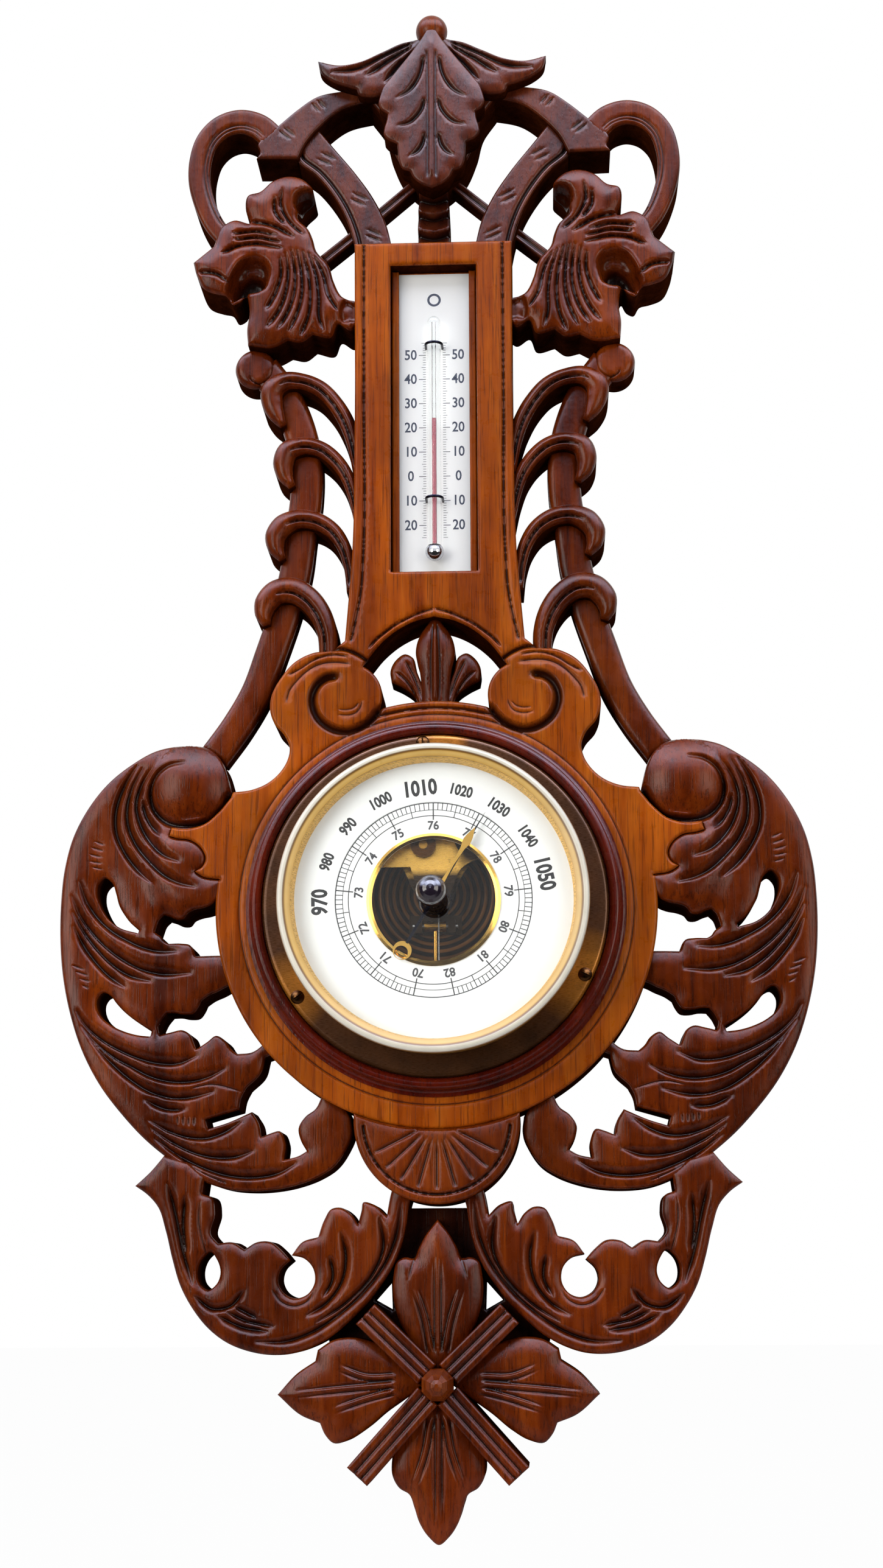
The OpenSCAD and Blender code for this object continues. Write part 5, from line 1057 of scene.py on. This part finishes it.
def head():
    """Animal head with an open jaw, and its horn."""
    c = Carving(curve(HEAD), face=HEAD_FACE, back=2, edge=1.3, fall=2.2, fall_width=8)
    # The jaw, throat, eye and neck hollow are sunk and also get painted shade.
    c.area(curve(JAW), -7, soft=4.0, dark=0.45)
    c.area(curve(THROAT), -6, soft=2.0, dark=1.0)
    c.area(circle(*EYE), -10, soft=2.5, dark=0.9)
    c.area(curve(NECK_HOLLOW), -3.5, soft=2.5, dark=0.3)
    c.ridge(LIP, 1.7, 1.1)
    c.grooves(HEAD_STROKES, (1.4, 2.2), 2.3)
    line = path(HORN)
    horn = Carving(ribbon(line, 12, 8.5), face=ARCH_FACE, back=4, edge=1.8)
    for shift in (-2.4, -3.8):
        horn.groove((line + sides(line) * shift)[4:-4], 0.9, 0.9, dark=0.3)
    return [c.mesh("head_face"), horn.mesh("horn")]


def rod():
    """Side rod with four hooks that reach to the column, and a curl at its top."""
    bar = Carving(ribbon(path(ROD), 14.6, 13.6), face=ROD_AXIS + ROD_R, back=ROD_AXIS - ROD_R, edge=2.4,
                  fall=0.8, fall_width=5)
    parts = [bar.mesh("rod")]
    for knots in HOOKS:
        line = path([k[:2] for k in knots])
        along = nearest(np.array([k[:2] for k in knots], float), line)[1]
        width = np.interp(np.linspace(0, 1, len(line)), along, [k[2] for k in knots])
        h = Carving(ribbon(line, width), face=HOOK, back=2, edge=1.0, fall=2.8, fall_width=5.0)
        groove = line + sides(line) * (width * 0.17)[:, None]
        h.groove(groove[len(line) // 4:-3], (1.0, 1.8), 2.0, taper=(0.15, 0.05))
        parts.append(h.mesh("hook"))
    curl = Carving(circle(79, 239, 9), face=ROD_AXIS + ROD_R + 1, back=4, edge=3.4)
    curl.groove(arc(76.5, 237, 5.5, 200, 330), 1.0, 0.8, dark=0.4)
    return parts + [curl.mesh("curl")]


def crest_arches():
    """Two crossing arches on each side, straps across them, and the spine that carries the leaf."""
    upper = Carving(curve(ARCH_BAND), face=ARCH_FACE, back=2)
    upper.grooves(ARCH_MARKS, 0.9, 0.7, dark=0.35)
    lower = Carving(curve(LOW_BAND), face=ARCH_FACE - 3, back=2)
    lower.grooves(LOW_MARKS, 0.9, 0.7, dark=0.35)
    edge = path(LOW_BAND[:7])
    lower.groove((edge - sides(edge) * 2.6)[2:-1], 1.2, 1.5, taper=(0.05, 0.02), dark=0.7)
    strap = Carving(ribbon(path(STRAP), 5, 5), face=14, back=4)
    strap.groove(STRAP, 1.2, 1.2, taper=(0.01, 0.01), dark=0.4)
    parts = []
    for c, what in ((upper, "band"), (lower, "band"), (strap, "strap")):
        parts += with_mirror(c.mesh(what))
    parts.append(Carving(both(BACKING), face=ARCH_FACE, edge=1.0).mesh("backing"))
    spine = Carving(both(SPINE), face=ARCH_FACE - 5, back=2, edge=1.0)
    for z in (316.5, 308.5, 299.5):
        notch = [[-7.2, z + 0.3], [0, z - 1.6], [7.2, z + 0.3]]
        spine.groove(notch, (2.2, 7.0), 4.2, taper=(0.02, 0.02), power=1.2, dark=0.8)
    return parts + [spine.mesh("spine")]


def crest_leaf():
    """Leaf in the middle of the crest, with a smaller one on each side."""
    c = Carving(both(CREST_LEAF), face=CREST, back=ARCH_FACE, edge=0.8, fall=0.9)
    c.ridge([[0, 318], [0, 350], [0, 382]], 1.6, 0.9, taper=(0.05, 0.05))
    middle, *veins = CREST_STROKES
    for s in (1, -1):
        c.groove(side(middle, s), 1.0, 0.9, taper=(0.05, 0.05), dark=0.4)
        for vein in veins:
            c.groove(side(vein, s), 1.6, 1.8, taper=(0.1, 0.4), dark=0.7)
    small = Carving(curve(SIDE_LEAF), face=CREST - 5, back=ARCH_FACE, fall=0.9, fall_width=5)
    small.grooves(SIDE_STROKES, (2.0, 2.8), 2.8, taper=(0.1, 0.25), dark=0.7)
    return [c.mesh("middle_leaf")] + with_mirror(small.mesh("side_leaf"))


def side(knots, s):
    """Knots, reflected where s is -1."""
    return [[s * p[0], p[1]] for p in knots]


def crest_knob():
    """Ball on top of the crest."""
    bm = bmesh.new()
    bmesh.ops.create_icosphere(bm, subdivisions=4, radius=7)
    verts = np.array([(v.co.x, v.co.y - (CREST - 7), v.co.z + 389) for v in bm.verts])
    faces = [[v.index for v in f.verts] for f in bm.faces]
    bm.free()
    return [build_mesh("knob", verts, faces, np.zeros(len(verts)))]


def fleuron():
    """Three petals that stand in the arched opening."""
    c = Carving(both(FLEURON_PETAL), face=FLEURON, back=6, fall=2.8, fall_width=8)
    for s in (1, -1):
        c.groove(side([[1.7, 84], [1.9, 104], [0.9, 120]], s), 0.9, 1.2, dark=0.4)
    c.ridge([[0, 84], [0, 104], [0, 121]], 1.5, 1.6)
    small = Carving(curve(FLEURON_SIDE), face=FLEURON - 3, back=6, fall=1.5, fall_width=5)
    small.grooves(FLEURON_VEINS, 1.3, 1.4, dark=0.45)
    return [c.mesh("petal")] + with_mirror(small.mesh("side_petal"))


def fan_boss():
    """Half round boss with nine rays, under the round board."""
    dial, centre = (0, DIAL_Z), (0, DIAL_Z - BOARD_R + 3.5)
    low = crossing(centre, FAN_R, dial, BOARD_R)
    right = np.array([abs(low[0]), low[1]])
    a = angle_of(centre, right)
    rim = arc(*centre, FAN_R, a, -180 - a)
    top = arc(*dial, BOARD_R, angle_of(dial, flip(right)), angle_of(dial, right))
    c = Carving(np.concatenate([rim, top[1:-1]]), face=FAN, edge=1.2, fall=1.0, fall_width=8)
    for i in range(-4, 5):
        t = math.radians(i * 15 * 1.05)
        ray = np.array([math.sin(t), -math.cos(t)])
        c.groove([list(np.array(centre) + ray * r) for r in (9, 18, 28.5)], 1.3, 1.5, dark=0.5)
    c.groove(arc(*centre, 30.5, -4, -176), 1.4, 1.6, taper=(0.02, 0.02))
    return [c.mesh("fan")]


def acanthus():
    """Lower scroll of leaves, with a round and a drop-shaped hole."""
    c = Carving(curve(ACANTHUS), [curve(TEAR)], face=LOW_LEAF, fall=1.4, fall_width=5)
    c.grooves(ACANTHUS_STROKES, (2.2, 2.8), 2.8, taper=(0.2, 0.2), power=1.4, dark=0.7)
    c.grooves(LOW_BEVELS, 1.0, 0.8, dark=0.3)
    return [c.mesh("acanthus")]


def petal(outline, veins):
    """Petal with raised veins."""
    c = Carving(outline, face=PETAL, fall=2.4, fall_width=9)
    for knots in veins:
        c.ridge(knots, 1.0, 0.9, taper=(0.1, 0.3))
        line = path(knots)
        for s in (1, -1):
            c.groove(line + sides(line) * s * 1.4, 1.3, 1.0, taper=(0.1, 0.3), dark=0.45)
    return c


def rosette():
    """Flower of four petals over crossed bars."""
    top_middle, top_vein, low_middle, low_vein, *side_veins = PETAL_STROKES
    top = petal(both(TOP_PETAL), [top_middle, top_vein, side(top_vein, -1)])
    for s in (1, -1):
        top.groove(side([[1, -135], [7, -142.5], [9.6, -150], [12, -158]], s), 1.0, 0.9, dark=0.3)
    low = petal(both(LOW_PETAL), [low_middle, low_vein, side(low_vein, -1)])
    at_side = petal(curve(SIDE_PETAL), side_veins)
    parts = [top.mesh("petal"), low.mesh("petal")] + with_mirror(at_side.mesh("side_petal"))
    for angle, length in ((44, 41), (-48, 49)):
        t = math.radians(angle)
        d, n = np.array([math.cos(t), math.sin(t)]), np.array([-math.sin(t), math.cos(t)])

        def at(u, v):
            """Point of the bar u along it and v across it."""
            return list(np.array([0, FLOWER_Z]) + d * u + n * v)

        corners = [at(u, v) + [1] for u, v in ((6, -5.5), (length, -5.5), (length, 5.5), (6, 5.5))]
        bar = Carving(curve(corners), face=BAR)
        for v in (-1.85, 1.85):
            bar.groove([at(6.5, v), at(length, v)], 1.5, 1.6, taper=(0.01, 0.01), dark=0.5)
        parts += with_mirror(bar.mesh("bar"))
    hole = curve(WEB_HOLE)
    web = Carving(both(WEB), [hole, flip(hole)[::-1]], face=12, back=2, edge=0.8)
    # The whole web is sunk a little and gets painted shade, as it lies behind the petals and bars.
    web.area(both(WEB), -0.5, dark=0.85)
    return parts + [web.mesh("web")]


def rosette_button():
    """Turned and cut to eight facets."""
    rings = [(7.0, PETAL), (7.0, 31.5), (6.4, 33.5), (4.6, 38.0), (2.4, 40.4), (0.8, 41.0)]
    n = 8
    turns = [2 * math.pi * (i + 0.5) / n for i in range(n)]
    verts = [(r * math.cos(a), -d, FLOWER_Z + r * math.sin(a)) for r, d in rings for a in turns]
    faces = []
    for k in range(0, len(verts) - n, n):
        for i in range(n):
            j = (i + 1) % n
            faces.append((k + i, k + j, k + n + j, k + n + i))
    faces += [tuple(range(len(verts) - n, len(verts))), tuple(range(n))[::-1]]
    m = build_mesh("button", verts, faces, np.zeros(len(verts)))
    m.shade_flat()
    return [m]


def carved(what, wood, slot, mesh):
    """Stands a carved mesh in for the CAD node of the same name."""
    stand("carved_" + what, mesh, WOOD[wood], slot, what, sawn=WOOD["sawn"])


def carve():
    """Stands the carved pieces in for the wooden CAD nodes."""
    carved("centre_board", "polished", "polished_walnut", join(centre_board(), "carved_centre_board"))
    for build in (wing, head, rod, acanthus):
        what = build.__name__
        right = join(build(), "carved_right_" + what)
        left = mirrored(right, "carved_left_" + what)
        carved("right_" + what, "carved", "carved_walnut", right)
        carved("left_" + what, "carved", "carved_walnut", left)
    for build, wood, slot in (
            (crest_arches, "crest", "carved_walnut"), (crest_leaf, "crest", "carved_walnut"),
            (crest_knob, "fan", "carved_walnut"), (fleuron, "carved", "carved_walnut"),
            (fan_boss, "fan", "polished_walnut"), (rosette, "carved", "carved_walnut"),
            (rosette_button, "fan", "polished_walnut")):
        carved(build.__name__, wood, slot, join(build(), "carved_" + build.__name__))


# Print on the dial and the thermometer's plate

class Print:
    """Flat ink lines and figures, gathered into one mesh."""

    def __init__(self, depth):
        self.depth, self.verts, self.faces = depth, [], []

    def face(self, *corners):
        base = len(self.verts)
        self.verts += [(x, -self.depth, z) for x, z in corners]
        self.faces.append(tuple(range(base, base + len(corners))))

    def tick(self, x, z, angle, r0, r1, width):
        """Radial line at a clockwise angle from the top."""
        d, n = compass(angle)
        a, b, half = np.array([x, z]) + d * r0, np.array([x, z]) + d * r1, n * width / 2
        self.face(a - half, a + half, b + half, b - half)

    def ring(self, x, z, r, width, steps=240):
        for i in range(steps):
            a, b = (math.radians(90 - 360 * k / steps) for k in (i, i + 1))
            far, near = r + width / 2, r - width / 2
            self.face(*((x + s * math.cos(t), z + s * math.sin(t))
                        for s, t in ((near, a), (near, b), (far, b), (far, a))))

    def figures(self, text, size, x, z, turn=0.0, width=1.0, bold=0.0):
        """Digits centred on (x, z), turned clockwise."""
        c = bpy.data.curves.new("figures", "FONT")
        c.body, c.size, c.align_x, c.align_y = text, size, "CENTER", "CENTER"
        c.offset = bold
        c.resolution_u = 3
        o = bpy.data.objects.new("figures", c)
        bpy.context.scene.collection.objects.link(o)
        m = bpy.data.meshes.new_from_object(o.evaluated_get(bpy.context.evaluated_depsgraph_get()))
        up, right = compass(turn)
        base = len(self.verts)
        for v in m.vertices:
            px, pz = right * (v.co.x * width) + up * v.co.y + (x, z)
            self.verts.append((px, -self.depth, pz))
        self.faces += [tuple(base + i for i in f.vertices) for f in m.polygons]
        bpy.data.objects.remove(o)
        bpy.data.curves.remove(c)
        bpy.data.meshes.remove(m)

    def figures_round(self, text, size, r, turn, **how):
        """Digits at a distance from the dial's centre, upright to it."""
        x, z = compass(turn)[0] * r + (0, DIAL_Z)
        self.figures(text, size, x, z, turn=turn, **how)

    def show(self, name, colour_name, colour, slot):
        stand(name, build_mesh(name, self.verts, self.faces), ink(colour_name, colour), slot)


INK = 0.04               # how far ink stands out from its face
DIAL_DEPTH = 46.6
MID_CM = 76              # centimetres of mercury at the top of the dial
TURN_PER_CM = 28         # degrees on the dial
CM_PER_HPA = 0.0750062


def print_scale():
    """The scale of 70 to 82 cm of mercury."""
    p = Print(DIAL_DEPTH + INK)
    outer, middle, inner, long_tick = 40.6, 37.6, 35.2, 33.4
    for r, width in ((outer, 0.42), (middle, 0.26), (inner, 0.36)):
        p.ring(0, DIAL_Z, r, width)
    for i in range(-60, 61):
        long = i % 10 == 0
        start = long_tick if long else (inner if i % 5 == 0 else middle)
        p.tick(0, DIAL_Z, i * TURN_PER_CM / 10, start, outer, 0.5 if long else 0.34)
    for cm in range(70, 83):
        p.figures_round(str(cm), 5.0, 30.9, (cm - MID_CM) * TURN_PER_CM, width=0.95, bold=0.14)
    p.show("dial_print", "print_grey", (64, 64, 70), "dial_white")


def print_hectopascals():
    """Bold figures where such dials have their words."""
    p = Print(47.0 + INK)
    for hpa in range(970, 1051, 10):
        big = hpa in (970, 1010, 1050)
        p.figures_round(str(hpa), 9.0 if big else 6.2, 46.8, (hpa * CM_PER_HPA - MID_CM) * TURN_PER_CM,
                        width=0.8, bold=0.32 if big else 0.22)
    p.show("dial_words", "print_black", (24, 24, 30), "dial_white")


def print_plate():
    """Degrees on both sides of the thermometer's tube."""
    p = Print(19.2 + 0.03)
    zero, per_degree = 187.5, 1.11
    for degree in range(-25, 56):
        z = zero + degree * per_degree
        long = degree % 10 == 0
        reach = 6.8 if long else (5.6 if degree % 5 == 0 else 5.0)
        for s in (-1, 1):
            p.tick(0, z, s * 90, 3.7, reach, 0.3 if long else 0.2)
            if long:
                p.figures(str(abs(degree)), 6.4, s * 10.4, z, width=0.86, bold=0.1)
    p.ring(0, 268.5, 2.5, 1.0, steps=40)
    p.show("plate_print", "plate_black", (40, 46, 60), "opal_glass")


# Scene

AMBIENT = (0.12, 0.115, 0.12, 1)       # light from all round
ROOM = (0.02, 0.016, 0.016, 1)         # what polish mirrors in front of the part
WHITE = (1, 1, 1, 1)
WINDOW_TINT = (0.66, 0.72, 0.95, 1)
WINDOW = 10.5                          # strength of the pale window above and before the part
WINDOW_FOOT, WINDOW_HEAD = 0.32, 0.99  # where it begins and ends: the horizon is 0 and straight up is 1
FLOOR_Z = -0.66
FLOOR_WHITE = 0.975                    # how white the camera sees the floor; the rest is shadow
CARD_Y = -0.2                          # the dark card on the floor begins here

# Lamps: size, power, place, aim and colour
LAMPS = {
    "top_lamp": ((1.6, 0.9), 13, (0.0, -1.0, 1.2), (0, 0, -0.35), (0.92, 0.94, 1.0)),
    "left_lamp": ((0.8, 1.4), 21.5, (-1.15, -1.45, -0.2), (0, 0, -0.4), (1.0, 0.96, 0.9)),
    "right_lamp": ((0.8, 1.4), 12.5, (1.25, -1.4, -0.35), (0, 0, -0.4), (1.0, 0.95, 0.88)),
    "low_lamp": ((1.0, 0.6), 4, (0.3, -1.5, -1.2), (0, 0, -0.4), (1.0, 0.9, 0.8))}


def link_object(name, data):
    o = bpy.data.objects.new(name, data)
    bpy.context.scene.collection.objects.link(o)
    return o


def lamp(name, size, power, at, aim, colour):
    """Rectangular lamp that looks from one point at another."""
    data = bpy.data.lights.new(name, "AREA")
    data.shape, data.size, data.size_y, data.energy, data.color = "RECTANGLE", size[0], size[1], power, colour
    o = link_object(name, data)
    o.location = at
    o.rotation_mode = "QUATERNION"
    o.rotation_quaternion = (Vector(aim) - Vector(at)).to_track_quat("-Z", "Y")


def sky(world):
    """White to the camera and through glass. Gloss sees white behind the part, dark before it and a pale window."""
    world.use_nodes = True
    n = Nodes(world.node_tree)
    ambient = n.tree.nodes["Background"]
    n.put(AMBIENT, ambient.inputs["Color"])

    def glow(colour, strength=1.0):
        return n.add("Background", [("Color", colour), ("Strength", strength)]).outputs[0]

    up = n.coordinate("Generated", 2)
    rise = n.math("POWER", n.times(n.math("SUBTRACT", up, WINDOW_FOOT), 3.0, clamp=True), 1.5)
    fade = n.times(n.math("SUBTRACT", WINDOW_HEAD, up), 6.0, clamp=True)
    window = glow(WINDOW_TINT, n.times(n.times(rise, fade), WINDOW))
    before = n.add("AddShader", [(0, glow(ROOM)), (1, window)])
    behind = n.math("GREATER_THAN", n.coordinate("Generated", 1), 0.0)
    gloss = n.blend_shaders(behind, before.outputs[0], glow(WHITE))
    ray = n.add("LightPath").outputs
    plain = n.blend_shaders(ray["Is Glossy Ray"], ambient.outputs[0], gloss)
    seen = n.math("MAXIMUM", ray["Is Camera Ray"], ray["Is Transmission Ray"])
    n.put(n.blend_shaders(seen, plain, glow(WHITE)), n.tree.nodes["World Output"].inputs["Surface"])


def studio():
    """Pale floor with a dark card before the part that only its polish sees, soft lamps and the sky."""
    scene = bpy.context.scene
    scene.view_settings.view_transform = "Standard"
    scene.world = bpy.data.worlds.new("studio")
    sky(scene.world)
    for name, how in LAMPS.items():
        lamp(name, *how)

    n = Material("floor")
    n.finish(n.mottle(n.place(), 9, srgb(240, 240, 240), srgb(248, 248, 248)), 0.9)
    camera_ray = n.add("LightPath").outputs["Is Camera Ray"]
    card = n.add("BsdfDiffuse", [("Color", (0.02, 0.02, 0.02, 1))]).outputs[0]
    white = n.add("Emission", [("Color", WHITE)]).outputs[0]
    in_front = n.math("LESS_THAN", n.coordinate("Object", 1), CARD_Y)
    shown = n.blend_shaders(n.times(in_front, n.one_minus(camera_ray)), n.shader.outputs[0], card)
    n.show(n.blend_shaders(n.times(camera_ray, FLOOR_WHITE), shown, white))
    bm = bmesh.new()
    bmesh.ops.create_grid(bm, x_segments=8, y_segments=8, size=6.0)
    mesh = bpy.data.meshes.new("floor")
    bm.to_mesh(mesh)
    bm.free()
    floor = link_object("floor", mesh)
    floor.location = (0, 0, FLOOR_Z)
    mesh.materials.append(n.mat)


PHOTO_HEIGHT = 2576                    # pixels
FOCAL, SHIFT_X, SHIFT_Y = 3960, -1.06, 210.66     # in the photograph's pixels
EYE_POINT = (0.045, -1.026, -0.515)
SIGHT = (-0.0424, 1.0, 0.159)
ROLL = -0.27                           # degrees


def camera():
    """The photograph's viewpoint: a little right of and below the dial, looking up."""
    aim = Vector(SIGHT).normalized()
    right = aim.cross(Vector((0, 0, 1))).normalized()
    up = right.cross(aim)
    roll = math.radians(ROLL)
    r = right * math.cos(roll) + up * math.sin(roll)
    u = up * math.cos(roll) - right * math.sin(roll)
    data = bpy.data.cameras.new("camera")
    data.sensor_width = 36
    data.lens = FOCAL / PHOTO_HEIGHT * 36
    data.shift_x = SHIFT_X / PHOTO_HEIGHT
    data.shift_y = SHIFT_Y / PHOTO_HEIGHT
    data.clip_start = 0.01
    cam = link_object("camera", data)
    cam.matrix_world = Matrix.Translation(EYE_POINT) @ Matrix((r, u, -aim)).transposed().to_4x4()
    bpy.context.scene.camera = cam


dress()
carve()
print_scale()
print_hectopascals()
print_plate()
studio()
camera()
